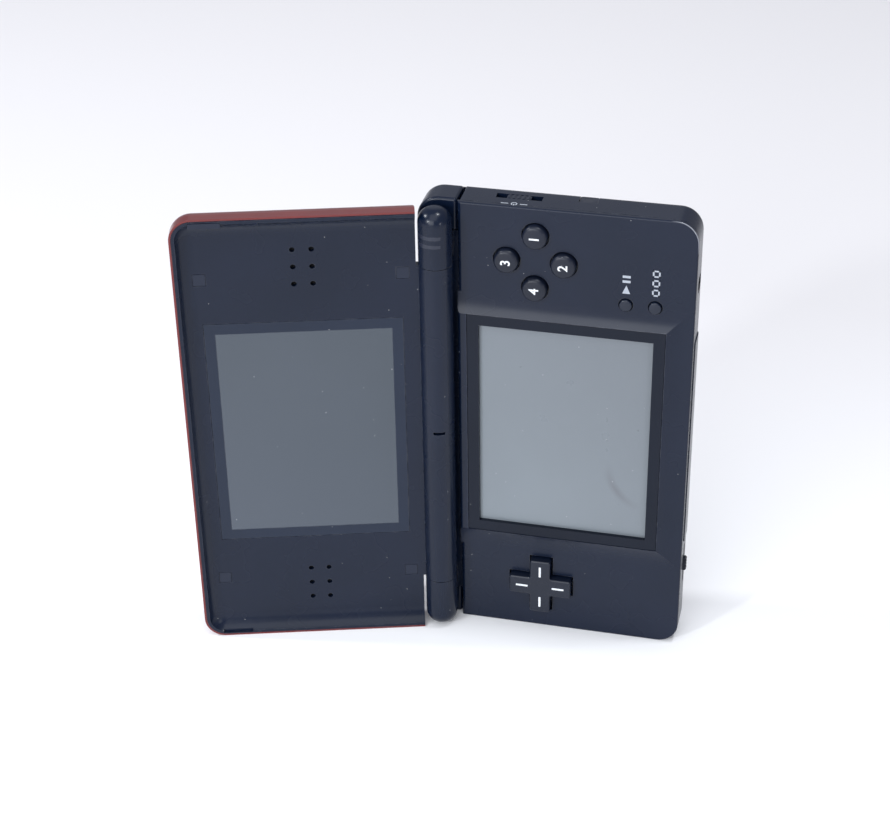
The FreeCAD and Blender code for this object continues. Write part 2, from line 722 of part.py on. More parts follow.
floor_bosses = [
    rod(
        f"boss_{n}", "y", "post_radius + boss_wall", place,
        (POST_END, f"{UNDERSIDE} - floor_wall + root_depth"),
    )
    for n, place in enumerate(post_places)
]
hatch_x = ("battery_x - hatch_border", "battery_x + battery_long + hatch_tab")
hatch_z = ("battery_z - hatch_border", "battery_z + battery_wide + hatch_border")
HATCH_SCREW = ("battery_x + battery_long + hatch_tab / 2", "battery_z + battery_wide / 2")
hatch_boss = block(
    "hatch_boss",
    (f"{HATCH_SCREW[0]} - boss_half", "front_reach - wall + root_depth"),
    (f"{UNDERSIDE} - floor_wall - boss_depth", f"{UNDERSIDE} - floor_wall - slip"),
    about(HATCH_SCREW[1], "2 * boss_half"),
)
ear_spans = {
    "left": about("pivot_z", "2 * ear"),
    "right": about("case_width - pivot_z", "2 * ear"),
}
pivot_z = {"left": "pivot_z", "right": "case_width - pivot_z"}
PIN_TOP = f"({SHELF_UNDER} + seam)"

PORT_Y = f"({UNDERSIDE} - card_rise)"
port_z = about("case_width - port_z", "port_width")
power_zone = (
    about("power_x", "power_length"),
    about("(deck_level + power_y)", "power_width"),
    ("case_width - wall - cut_past", "case_width + cut_past"),
)
VOLUME_Y = "(deck_level + base_depth / 2)"
tray_cuts = [
    rod(
        "stylus_bore",
        "z",
        "stylus_radius + stylus_room",
        ("stylus_x", STYLUS_Y),
        (f"{stylus_span[0]} - stylus_room", "case_width + cut_past"),
    ),
    block(
        "head_room",
        about("stylus_x", "stylus_head + 2 * head_gap"),
        (f"{STYLUS_Y} - stylus_radius - stylus_room", UNDER_PAST),
        (f"{stylus_span[1]} - head_length - head_gap", "case_width + cut_past"),
    ),
    block("bay_mouth", ("front_reach - wall - cut_past", "front_reach + cut_past"), bay_y, bay_z),
    block("power_slot", *power_zone),
    block(
        "volume_slot",
        ("front_reach - wall - cut_past", "front_reach + cut_past"),
        about(VOLUME_Y, "volume_width"),
        about("volume_z", "volume_length"),
    ),
    rod(
        "jack_hole",
        "x",
        "jack_nose + slip",
        (VOLUME_Y, "case_width - jack_z"),
        ("front_reach - wall - cut_past", "front_reach + cut_past"),
    ),
    block(
        "card_mouth",
        ("-rear_reach - cut_past", "-rear_reach + wall + cut_past"),
        about(PORT_Y, "card_high"),
        about(MIDDLE, "card_width"),
    ),
    block(
        "port_mouth_hole",
        ("-rear_reach - cut_past", "-rear_reach + wall + cut_past"),
        about(PORT_Y, "port_high + 2 * slip"),
        about("case_width - port_z", "port_width + 2 * slip"),
    ),
    block("hatch_hole", hatch_x, (f"{UNDERSIDE} - floor_wall - slip", UNDER_PAST), hatch_z),
    rod("hatch_bore", "y", "screw_radius", HATCH_SCREW, ("0", f"{UNDERSIDE}")),
]
for n, place in enumerate(post_places):
    tray_cuts.append(rod(f"screw_way_{n}", "y", "screw_radius + slip", place, ("0", UNDERSIDE)))
    tray_cuts.append(
        rod(
            f"head_way_{n}",
            "y",
            "head_radius + slip",
            place,
            (f"{UNDERSIDE} - head_depth", UNDER_PAST),
        )
    )
foot_places = [
    ("front_reach - foot_front", "foot_end"),
    ("front_reach - foot_front", "case_width - foot_end"),
    ("lid_start + post_rear", f"{bezel_z[0]} + foot_beside"),
    ("lid_start + post_rear", f"{bezel_z[1]} - foot_beside"),
]
for n, place in enumerate(foot_places):
    tray_cuts.append(
        rod(f"foot_seat_{n}", "y", "foot_radius", place, (f"{UNDERSIDE} - foot_sink", UNDER_PAST))
    )
for side, z in pivot_z.items():
    tray_cuts.append(
        rod(f"{side}_pin_seat", "y", "pivot_radius", ("-pivot_x", z), ("0", f"{UNDERSIDE} - pin_cover"))
    )
hollow_tray = cut("hollow_tray", tray, cavity, shelf_room)
ribbed_tray = fuse("ribbed_tray", hollow_tray, tunnel, *bay_ribs, *floor_bosses, hatch_boss)
base_lower = cut("base_lower", ribbed_tray, *tray_cuts, *shoulder_rooms, *eased_edges)
keep(base_lower, "base_lower_shell", "base")

# ---------------------------------------------------------------- lower screen

BEZEL_FACE = f"({PLATEAU} + bezel_sink)"
BEZEL_PAST = f"({BEZEL_FACE} + bezel_depth + panel_depth + cut_past)"
panel_x = about("base_screen_x", "screen_short + 2 * panel_overlap")
panel_z = about(MIDDLE, "screen_long + 2 * panel_overlap")
lower_bezel = cut(
    "lower_bezel",
    block(
        "lower_bezel_plate",
        (f"{bezel_x[0]} + slip", f"{bezel_x[1]} - slip"),
        (BEZEL_FACE, f"{BEZEL_FACE} + bezel_depth + panel_depth"),
        (f"{bezel_z[0]} + slip", f"{bezel_z[1]} - slip"),
    ),
    block(
        "lower_window",
        about("base_screen_x", "screen_short"),
        ("0", BEZEL_PAST),
        about(MIDDLE, "screen_long"),
    ),
    block(
        "lower_panel_seat",
        (f"{panel_x[0]} - slip", f"{panel_x[1]} + slip"),
        (f"{BEZEL_FACE} + bezel_depth", BEZEL_PAST),
        (f"{panel_z[0]} - slip", f"{panel_z[1]} + slip"),
    ),
)
keep(lower_bezel, "lower_screen_bezel", "base")
PANEL_FACE = f"({BEZEL_FACE} + bezel_depth)"
touch_panel = block("touch_panel_box", panel_x, (PANEL_FACE, f"{PANEL_FACE} + panel_depth"), panel_z)
keep(touch_panel, "touch_panel", "base")
lower_lcd = block(
    "lower_lcd_box",
    (f"{panel_x[0]} - lcd_side", f"{panel_x[1]} + lcd_side"),
    (f"{PANEL_FACE} + panel_depth", f"{PANEL_FACE} + panel_depth + lcd_depth"),
    (f"{panel_z[0]} - lcd_end", f"{panel_z[1]} + lcd_end"),
)
keep(lower_lcd, "lower_lcd", "base")

# ---------------------------------------------------------------- main board

BOARD_UNDER = "(board_level + board_depth)"
through_board = ("board_level - cut_past", f"{BOARD_UNDER} + cut_past")
board_cuts = [
    block(
        "board_bay_room",
        ("front_reach - bay_deep - connector_gap - connector_deep - board_gap", "front_reach"),
        through_board,
        (f"{bay_z[0]} - board_margin", f"{bay_z[1]} + board_margin"),
    ),
    block(
        "board_jack_room",
        ("front_reach - wall - jack_length - 2 * board_ease", "front_reach"),
        through_board,
        about("case_width - jack_z", "jack_body + 2 * board_ease"),
    ),
]
for n, place in enumerate(post_places):
    board_cuts.append(rod(f"board_post_{n}", "y", "post_radius + board_gap", place, through_board))
main_board = cut(
    "board",
    block(
        "board_plate",
        ("lid_start + board_margin", "front_reach - wall - board_front"),
        ("board_level", BOARD_UNDER),
        ("wall + board_margin", "case_width - wall - board_margin"),
    ),
    *board_cuts,
)
keep(main_board, "main_board", "base")

# ---------------------------------------------------------------- keys on the deck

FLANGE_TOP = f"({PARTING} + flange_drop)"
FLANGE_END = f"({FLANGE_TOP} + flange_depth)"
SHEET_TOP = "(board_level - rubber)"


def key(name, place, radius, rise, rounding):
    """A round button: a rounded cap with a flange under the deck and a stem above its contact."""
    cap_rod = rod(name + "_cap", "y", radius, place, (f"deck_level - {rise}", FLANGE_END))
    doc.recompute()
    cap = rounded(name + "_round", cap_rod, rounding, at_level(cap_rod.Shape.BoundBox.YMin))
    foot = rod(name + "_foot", "y", f"{radius} + flange", place, (FLANGE_TOP, FLANGE_END))
    stem = rod(
        name + "_stem", "y", f"{radius} * stem_share", place, (FLANGE_TOP, f"{SHEET_TOP} - travel_room")
    )
    return keep(fuse(name + "_whole", cap, foot, stem), name, "base")


for where, place in key_places.items():
    key(f"face_button_{where}", place, "key_radius", "key_rise", size("key_rounding"))
for name, place in menu_places.items():
    key(name, place, "menu_radius", "menu_rise", size("menu_rounding"))

# The direction pad rocks on a pivot piece: its cross tips one way on it, and the pivot the other.
PAD_TOP = "(deck_level - pad_key_rise)"
PAD_END = f"({PARTING} + pad_foot)"
cross_arms = [
    block(
        "pad_long",
        about("pad_key_x", "pad_key_span"),
        (PAD_TOP, PAD_END),
        about("pad_key_z", "pad_key_arm"),
    ),
    block(
        "pad_tall",
        about("pad_key_x", "pad_key_arm"),
        (PAD_TOP, PAD_END),
        about("pad_key_z", "pad_key_span"),
    ),
]
cross = fuse("pad_cross", *cross_arms)
doc.recompute()
soft_cross = rounded("pad_soft", cross, size("pad_rounding"), at_level(cross.Shape.BoundBox.YMin))
skirt = rod(
    "pad_skirt",
    "y",
    "pad_key_span / 2 + skirt_margin",
    ("pad_key_x", "pad_key_z"),
    (f"{PARTING} + tilt_room", f"{PARTING} + tilt_room + skirt_depth"),
)
skirt_core = rod(
    "pad_core",
    "y",
    "pad_key_arm / 2",
    ("pad_key_x", "pad_key_z"),
    (PARTING, f"{PARTING} + tilt_room + skirt_depth"),
)
keep(fuse("pad_whole", soft_cross, skirt, skirt_core), "direction_pad", "base")
pivot_disc = rod(
    "pad_pivot_disc",
    "y",
    "pivot_disc",
    ("pad_key_x", "pad_key_z"),
    (f"{PARTING} + tilt_room + skirt_depth + pivot_gap", f"{SHEET_TOP} - pivot_room"),
)
keep(pivot_disc, "direction_pad_pivot", "base")

SHEET = (SHEET_TOP, "board_level")
direction_sheet = block(
    "direction_sheet", about("pad_key_x", "pad_key_span + 2 * sheet_margin"), SHEET,
    about("pad_key_z", "pad_key_span + 2 * sheet_margin"),
)
keep(direction_sheet, "direction_pad_contact_sheet", "base")
button_sheet = block(
    "button_sheet",
    about("cluster_x", "2 * (cluster_pitch + key_radius + sheet_edge)"),
    SHEET,
    about("case_width - cluster_z", "2 * (cluster_pitch + key_radius + sheet_edge)"),
)
keep(button_sheet, "face_button_contact_sheet", "base")
menu_sheet = block(
    "menu_sheet",
    ("menu_x - menu_radius - sheet_margin", "menu_x + menu_pitch + menu_radius + sheet_margin"),
    SHEET,
    about("case_width - menu_z", "2 * (menu_radius + sheet_edge)"),
)
keep(menu_sheet, "menu_button_contact_sheet", "base")

# ---------------------------------------------------------------- shoulder buttons

for side, span in shoulder_spans.items():
    inner = "shoulder_length - shoulder_slack"
    reach = ("0", inner) if side == "left" else other_end("0", inner)
    skin = common(
        f"{side}_shoulder_skin",
        base_form,
        block(
            f"{side}_shoulder_zone",
            ("-rear_reach - cut_past", "shoulder_x - shoulder_gap / 2"),
            (SHELF, f"{SHOULDER_UNDER} - shoulder_lift"),
            reach,
        ),
    )
    doc.recompute()
    skin_box = skin.Shape.BoundBox
    end_z = skin_box.ZMin if side == "left" else skin_box.ZMax
    eased = rounded(
        f"{side}_shoulder_eased",
        skin,
        size("shoulder_rounding"),
        lambda box: at_level(skin_box.YMin)(box)
        or (along_y(box) and box.XMin > 0 and abs(box.ZMin - end_z) < NEAR),
    )
    hollow_z = ("shoulder_wall", "pivot_z - ear")
    hollow_span = hollow_z if side == "left" else other_end(*hollow_z)
    hollow = rounded(
        f"{side}_shoulder_hollow",
        block(
            f"{side}_shoulder_hollow_block",
            ("-rear_reach + shoulder_wall", "shoulder_x + cut_past"),
            (f"{SHELF} + shoulder_wall", UNDER_PAST),
            hollow_span,
        ),
        size("corner_radius") - size("shoulder_wall"),
        lambda box: along_y(box) and box.XMin < 0,
    )
    under_z = ("knuckle_free - shoulder_slack", "shoulder_length + cut_past")
    under_shelf = block(
        f"{side}_shoulder_relief",
        ("-rear_reach - cut_past", "shoulder_x + cut_past"),
        ("0", f"{SHELF_UNDER} + shoulder_lift"),
        under_z if side == "left" else other_end(*under_z),
    )
    ear_front = block(
        f"{side}_ear_front",
        ("-pivot_x + ear", "shoulder_x + cut_past"),
        ("0", UNDER_PAST),
        ("pivot_z - ear", "shoulder_length + cut_past")
        if side == "left"
        else other_end("pivot_z - ear", "shoulder_length + cut_past"),
    )
    bore = rod(
        f"{side}_shoulder_bore", "y", "pivot_radius + running", ("-pivot_x", pivot_z[side]),
        ("0", UNDER_PAST),
    )
    spring_room = rod(
        f"{side}_spring_room", "y", "ear - spring_wall", ("-pivot_x", pivot_z[side]),
        (f"{SHOULDER_UNDER} - spring_room", UNDER_PAST),
    )
    button = cut(
        f"{side}_shoulder", eased, hollow, under_shelf, ear_front, bore, spring_room
    )
    keep(button, f"{side}_shoulder_button", "base")
    pin = rod(
        f"{side}_pin", "y", "pivot_radius", ("-pivot_x", pivot_z[side]),
        (PIN_TOP, f"{UNDERSIDE} - pin_cover"),
    )
    keep(pin, f"{side}_shoulder_pin", "base")
    spring = cut(
        f"{side}_spring",
        rod(
            f"{side}_spring_coil", "y", "ear - spring_wall - spring_gap", ("-pivot_x", pivot_z[side]),
            (f"{SHOULDER_UNDER} - spring_room + spring_gap", f"{SHOULDER_UNDER} - spring_wall"),
        ),
        rod(
            f"{side}_spring_eye", "y", "pivot_radius + running", ("-pivot_x", pivot_z[side]),
            ("0", UNDER_PAST),
        ),
    )
    keep(spring, f"{side}_shoulder_spring", "base")

# ---------------------------------------------------------------- stylus, sliders and sockets

stylus_rod = rod("stylus_rod", "z", "stylus_radius", ("stylus_x", STYLUS_Y),
                 (f"{stylus_span[0]} + tip_length", stylus_span[1]))
stylus_cone = doc.addObject("Part::Cone", "stylus_cone")
bind(stylus_cone, "Radius1", "stylus_tip")
bind(stylus_cone, "Radius2", "stylus_radius")
bind(stylus_cone, "Height", "tip_length")
bind(stylus_cone, "Placement.Base.x", "stylus_x")
bind(stylus_cone, "Placement.Base.y", STYLUS_Y)
bind(stylus_cone, "Placement.Base.z", stylus_span[0])
stylus_head = block(
    "stylus_head",
    about("stylus_x", "stylus_head"),
    (STYLUS_Y, UNDER_PAST),
    (f"{stylus_span[1]} - head_length", stylus_span[1]),
)
stylus_whole = fuse("stylus_whole", stylus_rod, stylus_cone, stylus_head)
keep(common("stylus_flush", stylus_whole, base_form), "stylus", "base")

POWER_FREE = "power_x + power_length / 2 - slide_gap"
power_plate = block(
    "power_plate",
    (f"{POWER_FREE} - (power_length - power_travel - slide_slack)", POWER_FREE),
    about("(deck_level + power_y)", "power_width - slide_room"),
    ("case_width - wall - slide_sink", "case_width - slide_sink"),
)
power_grip = block(
    "power_grip_bar",
    about("power_x", "power_grip"),
    about("(deck_level + power_y)", "power_width - 2 * grip_margin"),
    ("case_width - slide_sink - root_depth", "case_width + grip_proud"),
)
keep(fuse("power_whole", power_plate, power_grip), "power_slider", "base")

volume_grip = block(
    "volume_grip",
    ("front_reach - wall - slide_sink", "front_reach + volume_proud"),
    about(VOLUME_Y, "volume_width - slide_room"),
    about("volume_z", "volume_knob"),
)
volume_back = block(
    "volume_back",
    ("front_reach - wall - slide_gap - back_depth", "front_reach - wall - slide_gap"),
    about(VOLUME_Y, "volume_width + 2 * back_margin"),
    about("volume_z", "volume_knob + 2 * back_ends"),
)
keep(fuse("volume_whole", volume_grip, volume_back), "volume_slider", "base")

cover_block = block(
    "cover_block",
    ("front_reach - bay_deep", "front_reach + cover_proud"),
    (f"{bay_y[0]} + slip", f"{bay_y[1]} - slip"),
    (f"{bay_z[0]} + slip", f"{bay_z[1]} - slip"),
)
doc.recompute()
cover_front = cover_block.Shape.BoundBox.XMax
cover_under = cover_block.Shape.BoundBox.YMax
cover = rounded(
    "cover",
    cover_block,
    size("cover_rounding"),
    lambda box: abs(box.XMin - cover_front) < NEAR and abs(box.YMin - cover_under) < NEAR,
)
keep(cover, "cartridge_slot_cover", "base")
connector = block(
    "connector",
    ("front_reach - bay_deep - connector_gap - connector_deep", "front_reach - bay_deep - connector_gap"),
    (f"{bay_y[0]} + connector_edge", f"{bay_y[1]} - connector_edge"),
    (f"{bay_z[0]} + connector_ends", f"{bay_z[1]} - connector_ends"),
)
keep(connector, "cartridge_connector", "base")

jack_body = block(
    "jack_body_block",
    ("front_reach - wall - jack_gap - jack_length", "front_reach - wall - jack_gap"),
    about(VOLUME_Y, "jack_body"),
    about("case_width - jack_z", "jack_body"),
)
jack_nose = rod(
    "jack_nose_rod", "x", "jack_nose", (VOLUME_Y, "case_width - jack_z"),
    ("front_reach - wall - jack_gap - root_depth", "front_reach - jack_sink"),
)
jack_bore = rod(
    "jack_bore_rod", "x", "jack_bore", (VOLUME_Y, "case_width - jack_z"),
    ("front_reach - wall - jack_gap - jack_length + jack_back", "front_reach + cut_past"),
)
keep(cut("jack", fuse("jack_solid", jack_body, jack_nose), jack_bore), "headphone_socket", "base")

card_slot = cut(
    "card_slot_shell",
    block(
        "card_slot_block",
        ("-rear_reach + wall", "-rear_reach + wall + card_deep"),
        about(PORT_Y, "card_high + 2 * card_wall"),
        about(MIDDLE, "card_width + 2 * card_wall"),
    ),
    block(
        "card_slot_room",
        ("-rear_reach - cut_past", "-rear_reach + wall + card_deep - card_back"),
        about(PORT_Y, "card_high"),
        about(MIDDLE, "card_width"),
    ),
)
keep(card_slot, "game_card_slot", "base")

port = cut(
    "port_shell",
    block(
        "port_block",
        ("-rear_reach + port_sink", "-rear_reach + port_length"),
        about(PORT_Y, "port_high"),
        port_z,
    ),
    block(
        "port_room",
        ("-rear_reach - cut_past", "-rear_reach + port_length - port_back"),
        about(PORT_Y, "port_slit"),
        about("case_width - port_z", "port_mouth"),
    ),
)
keep(port, "charging_port", "base")

# ---------------------------------------------------------------- battery, hatch, screws, feet

HATCH_TOP = f"({UNDERSIDE} - floor_wall)"
battery = block(
    "battery",
    ("battery_x", "battery_x + battery_long"),
    (f"{HATCH_TOP} - battery_gap - battery_deep", f"{HATCH_TOP} - battery_gap"),
    ("battery_z", "battery_z + battery_wide"),
)
keep(battery, "battery_pack", "base")
hatch = cut(
    "hatch",
    block(
        "hatch_plate",
        (f"{hatch_x[0]} + slip", f"{hatch_x[1]} - slip"),
        (HATCH_TOP, UNDERSIDE),
        (f"{hatch_z[0]} + slip", f"{hatch_z[1]} - slip"),
    ),
    rod("hatch_screw_way", "y", "screw_radius + slip", HATCH_SCREW, ("0", UNDERSIDE)),
    rod(
        "hatch_head_way", "y", "head_radius + slip", HATCH_SCREW,
        (f"{UNDERSIDE} - head_depth", UNDER_PAST),
    ),
)
keep(hatch, "battery_cover", "base")


def screw(name, place, top):
    """A pan-headed screw with its head sunk in the underside."""
    head = rod(
        name + "_head", "y", "head_radius", place,
        (f"{UNDERSIDE} - head_depth", f"{UNDERSIDE} - head_sink"),
    )
    shank = rod(
        name + "_shank", "y", "screw_radius", place,
        (top, f"{UNDERSIDE} - head_depth + root_depth"),
    )
    return fuse(name, head, shank)


keep(screw("hatch_screw", HATCH_SCREW, f"{HATCH_TOP} - boss_depth"), "battery_cover_screw", "base")
case_screws = doc.addObject("Part::Compound", "case_screw_set")
case_screws.Links = [
    screw(f"case_screw_{n}", place, f"{POST_END} - screw_bite") for n, place in enumerate(post_places)
]
keep(case_screws, "base_screws", "base")
feet = doc.addObject("Part::Compound", "foot_set")
feet.Links = [
    rod(
        f"foot_{n}", "y", "foot_radius", place,
        (f"{UNDERSIDE} - foot_sink", f"{UNDERSIDE} + foot_proud"),
    )
    for n, place in enumerate(foot_places)
]
keep(feet, "rubber_feet", "base")

# ---------------------------------------------------------------- hinge pins, bush, click unit

for end, span in pin_spans.items():
    keep(rod(f"{end}_pin", "z", "pin_radius", ("0", "0"), span), f"hinge_pin_{end}", "base")
bush_spans = {
    "lower": (f"{SPLIT} + knuckle_gap", f"{SPLIT} + knuckle_gap + bush_length"),
    "upper": other_end(f"{SPLIT} + knuckle_gap", f"{SPLIT} + knuckle_gap + bush_length"),
}
for (end, span), name in zip(bush_spans.items(), ("hinge_bush", "hinge_click_unit")):
    sleeve = cut(
        f"{end}_sleeve",
        rod(f"{end}_sleeve_out", "z", "barrel_bore", ("0", "0"), span),
        rod(f"{end}_sleeve_in", "z", "pin_radius + running", ("0", "0"), case_span),
    )
    keep(sleeve, name, "lid")

# ---------------------------------------------------------------- lid

lid_x = ("-lid_reach", "-lid_start")
lid_form = shell_form(
    "lid_form",
    lid_x,
    (f"-{RIM}", OUTER),
    case_span,
    size("corner_radius"),
    size("lid_rounding"),
    far_corner,
)
FLOOR_TOP = f"(-{FACE} + deck_wall)"
through_face = (f"-{FACE} - cut_past", f"{FLOOR_TOP} + cut_past")


def inset_block(name, edge, y, near, corner):
    """A block set in by edge from the lid's far side and both ends, with rounded far corners."""
    plain = block(
        name + "_block", (f"-lid_reach + {edge}", near), y, (edge, f"case_width - ({edge})")
    )
    return rounded(name, plain, corner, far_corner)


outer_zone = block(
    "outer_zone", ("-lid_reach - cut_past", "0"), (f"-{RIM} + lip_drop", f"{OUTER} + cut_past"), case_span
)
outer_hollow = shell_form(
    "outer_hollow",
    ("-lid_reach + wall", "-lid_start - wall"),
    (f"-{RIM}", f"{OUTER} - floor_wall"),
    ("wall", "case_width - wall"),
    size("corner_radius") - size("wall"),
    size("lid_rounding") - size("floor_wall"),
)
rim_seat = inset_block(
    "rim_seat",
    "lip",
    (f"-{RIM} - cut_past", f"{FLOOR_TOP} + plate_gap"),
    "0",
    size("corner_radius") - size("lip"),
)
lid_posts = []
pad_places = [
    (f"-{x}", f"{MIDDLE} {sign} pad_span") for x in ("pad_near", "pad_far") for sign in "-+"
]
for n, place in enumerate(pad_places):
    span = (f"{FLOOR_TOP} + plate_gap", f"{OUTER} - floor_wall + root_depth")
    lid_posts.append(rod(f"lid_post_{n}", "y", "post_radius", place, span))
lid_bores = [
    rod(f"lid_post_bore_{n}", "y", "screw_radius", place, ("0", f"{OUTER} - floor_wall - bore_end"))
    for n, place in enumerate(pad_places)
]
red_tray = cut("red_tray", common("red_form", lid_form, outer_zone), outer_hollow, rim_seat)
red_ribbed = common("red_ribbed", fuse("red_posts", red_tray, *lid_posts), lid_form)
keep(cut("lid_outer", red_ribbed, *lid_bores), "lid_outer_shell", "lid")

# The inner shell: a tray whose floor is the lid's inner face, hollowed up to its rim on three
# sides, with the middle of the hinge barrel on its fourth.
inner_plate = inset_block(
    "inner_plate",
    "(lip + lip_gap)",
    (f"-{RIM}", FLOOR_TOP),
    "-lid_start",
    size("corner_radius") - size("lip") - size("lip_gap"),
)
cove_arc = (size("cove_width") ** 2 + size("face_drop") ** 2) / (2 * size("face_drop"))
cove_edge = size("lip") + size("lip_gap") + size("rim_width") - (cove_arc - size("cove_width"))
cove_plain = inset_block(
    "cove_plain",
    "(lip + lip_gap + rim_width + cove_width"
    " - (cove_width ^ 2 + face_drop ^ 2) / (2 * face_drop))",
    (f"-{RIM} - cove_cutter", f"-{FACE}"),
    "0",
    size("corner_radius") - cove_edge,
)
doc.recompute()
cove_floor = cove_plain.Shape.BoundBox.YMax
cove = rounded(
    "cove",
    cove_plain,
    cove_arc,
    lambda box: at_level(cove_floor)(box) and box.XMin < -NEAR,
)
middle_span = (f"{SPLIT} + knuckle_gap", f"case_width - {SPLIT} - knuckle_gap")
middle_barrel = rod("middle_barrel", "z", "barrel_radius", ("0", "0"), middle_span)
neck = block("neck", ("-lid_start", "0"), (f"-{FACE}", f"-{FACE} + neck_depth"), middle_span)
lid_bezel_x = about("-lid_screen_x", "screen_short + 2 * bezel_border - bezel_trim")
lid_bezel_z = about(MIDDLE, "screen_long + 2 * bezel_border")
WINDOW_UNDER = f"(-{FACE} + panel_depth)"
inner_cuts = [
    block("window_seat", lid_bezel_x, (f"-{RIM}", WINDOW_UNDER), lid_bezel_z),
    block(
        "screen_hole",
        about("-lid_screen_x", "screen_short + 2 * window_ledge"),
        (f"-{RIM}", f"{FLOOR_TOP} + cut_past"),
        about(MIDDLE, "screen_long + 2 * window_ledge"),
    ),
    rod("barrel_tunnel", "z", "barrel_bore", ("0", "0"), case_span),
    block(
        "mic_slot", about("0", "slot_long"), ("-barrel_radius - cut_past", "-barrel_bore + slot_reach"),
        about(MIDDLE, "slot_short"),
    ),
]
for sign in "-+":
    for row in (-1, 0, 1):
        for column in (-0.5, 0.5):
            inner_cuts.append(
                rod(
                    f"sound_{'low' if sign == '-' else 'high'}_{row + 1}_{int(column + 0.5)}",
                    "y",
                    "speaker_hole",
                    (
                        f"-speaker_x + {column} * speaker_pitch",
                        f"{MIDDLE} {sign} speaker_span + {row} * speaker_pitch",
                    ),
                    through_face,
                )
            )
for n, (x, z) in enumerate(pad_places):
    inner_cuts.append(
        block(
            f"pad_seat_{n}", about(x, "pad_width"), (f"-{RIM}", f"-{FACE} + pad_depth"),
            about(f"({z})", "pad_width"),
        )
    )
    inner_cuts.append(rod(f"lid_screw_way_{n}", "y", "screw_radius + slip", (x, z), through_face))
bumper_x = ("-bumper_start - bumper_length", "-bumper_start")
bumper_z = ("lip + bumper_edge", "lip + bumper_edge + bumper_width")
BUMPER_SEAT = f"(-{RIM} + bumper_depth)"
for n, span in enumerate((bumper_z, other_end(*bumper_z))):
    inner_cuts.append(block(f"bumper_seat_{n}", bumper_x, (f"-{RIM} - cut_past", BUMPER_SEAT), span))
inner_tray = cut("inner_tray", inner_plate, cove)
inner_body = fuse("inner_body", inner_tray, neck, middle_barrel)
keep(cut("lid_inner", inner_body, *inner_cuts), "lid_inner_shell", "lid")

bumper = block(
    "bumper",
    (f"{bumper_x[0]} + slip", f"{bumper_x[1]} - slip"),
    (f"-{RIM} - bumper_proud", BUMPER_SEAT),
    tuple(
        f"{edge} {trim} slip" for edge, trim in zip(other_end(*bumper_z), "+-")
    ),
)
keep(bumper, "corner_bumper", "lid")
covers = doc.addObject("Part::Compound", "pad_set")
covers.Links = [
    block(
        f"pad_{n}", about(x, "pad_width - 2 * slip"), (f"-{FACE}", f"-{FACE} + pad_depth"),
        about(f"({z})", "pad_width - 2 * slip"),
    )
    for n, (x, z) in enumerate(pad_places)
]
keep(covers, "screw_cover_pads", "lid")
lid_screws = doc.addObject("Part::Compound", "lid_screw_set")
lid_screws.Links = [
    rod(f"lid_screw_{n}", "y", "screw_radius", place,
        (f"-{FACE} + pad_depth", f"{OUTER} - floor_wall - lid_screw_end"))
    for n, place in enumerate(pad_places)
]
keep(lid_screws, "lid_screws", "lid")

upper_bezel = cut(
    "upper_bezel",
    block(
        "upper_bezel_plate",
        (f"{lid_bezel_x[0]} + slip", f"{lid_bezel_x[1]} - slip"),
        (f"-{FACE}", WINDOW_UNDER),
        (f"{lid_bezel_z[0]} + slip", f"{lid_bezel_z[1]} - slip"),
    ),
    block(
        "upper_window_hole", about("-lid_screen_x", "screen_short"), through_face,
        about(MIDDLE, "screen_long"),
    ),
)
keep(upper_bezel, "upper_screen_bezel", "lid")
window = block(
    "window",
    about("-lid_screen_x", "screen_short"),
    (f"-{FACE} + window_sink", WINDOW_UNDER),
    about(MIDDLE, "screen_long"),
)
keep(window, "upper_window", "lid")
upper_lcd = block(
    "upper_lcd_box",
    about("-lid_screen_x", "screen_short + 2 * lcd_edge"),
    (WINDOW_UNDER, f"{WINDOW_UNDER} + lcd_depth"),
    about(MIDDLE, "screen_long + 2 * lcd_edge"),
)
keep(upper_lcd, "upper_lcd", "lid")
for name, sign in (("lower_speaker", "-"), ("upper_speaker", "+")):
    speaker = rod(
        name + "_can", "y", "speaker_radius", ("-speaker_x", f"{MIDDLE} {sign} speaker_span"),
        (FLOOR_TOP, f"{FLOOR_TOP} + speaker_depth"),
    )
    keep(speaker, name, "lid")
microphone = rod(
    "microphone_can", "z", "barrel_bore - mic_gap", ("0", "0"), about(MIDDLE, "mic_length")
)
keep(microphone, "microphone", "lid")
ribbon = cut(
    "ribbon_roll",
    rod(
        "ribbon_out", "z", "barrel_bore - ribbon_gap", ("0", "0"),
        about(f"{MIDDLE} - ribbon_shift", "ribbon_length"),
    ),
    rod("ribbon_in", "z", "barrel_bore - ribbon_gap - ribbon_depth", ("0", "0"), case_span),
)
keep(ribbon, "screen_ribbon_roll", "lid")

# ---------------------------------------------------------------- checks and files

doc.recompute()
for thing in doc.Objects:
    if "Invalid" in thing.State or "Error" in thing.State:
        raise RuntimeError(f"{thing.Name} failed: {thing.State}")
os.makedirs("parts", exist_ok=True)
for node in finished:
    if node.Shape.isNull() or not node.Shape.isValid():
        raise RuntimeError(f"{node.Label} has no valid shape")
    node.Shape.exportStep(os.path.join("parts", node.Label + ".step"))
    print(f"{node.Label}: {len(node.Shape.Solids)} solid(s), {node.Shape.Volume:.1f} mm3")
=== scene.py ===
# %% [markdown]
# # A folding handheld game
# The game stands on its side edge, open like a book. The right half is the base, with the keys and the
# touch screen; the left half is the lid, with the upper screen. Both are black moulded plastic. The lid
# also has an outer shell of clear-coated red, which shows from the front only as a thin line.
#
# The measured parts come first, as a frame that is never moved. Where a part's shape is already right it
# only gets its finish. Where the real piece has more shape than that, a new piece is made in its place.

# %% Load the measured parts
import json
import math
import bmesh
import bpy
from mathutils import Matrix, Vector


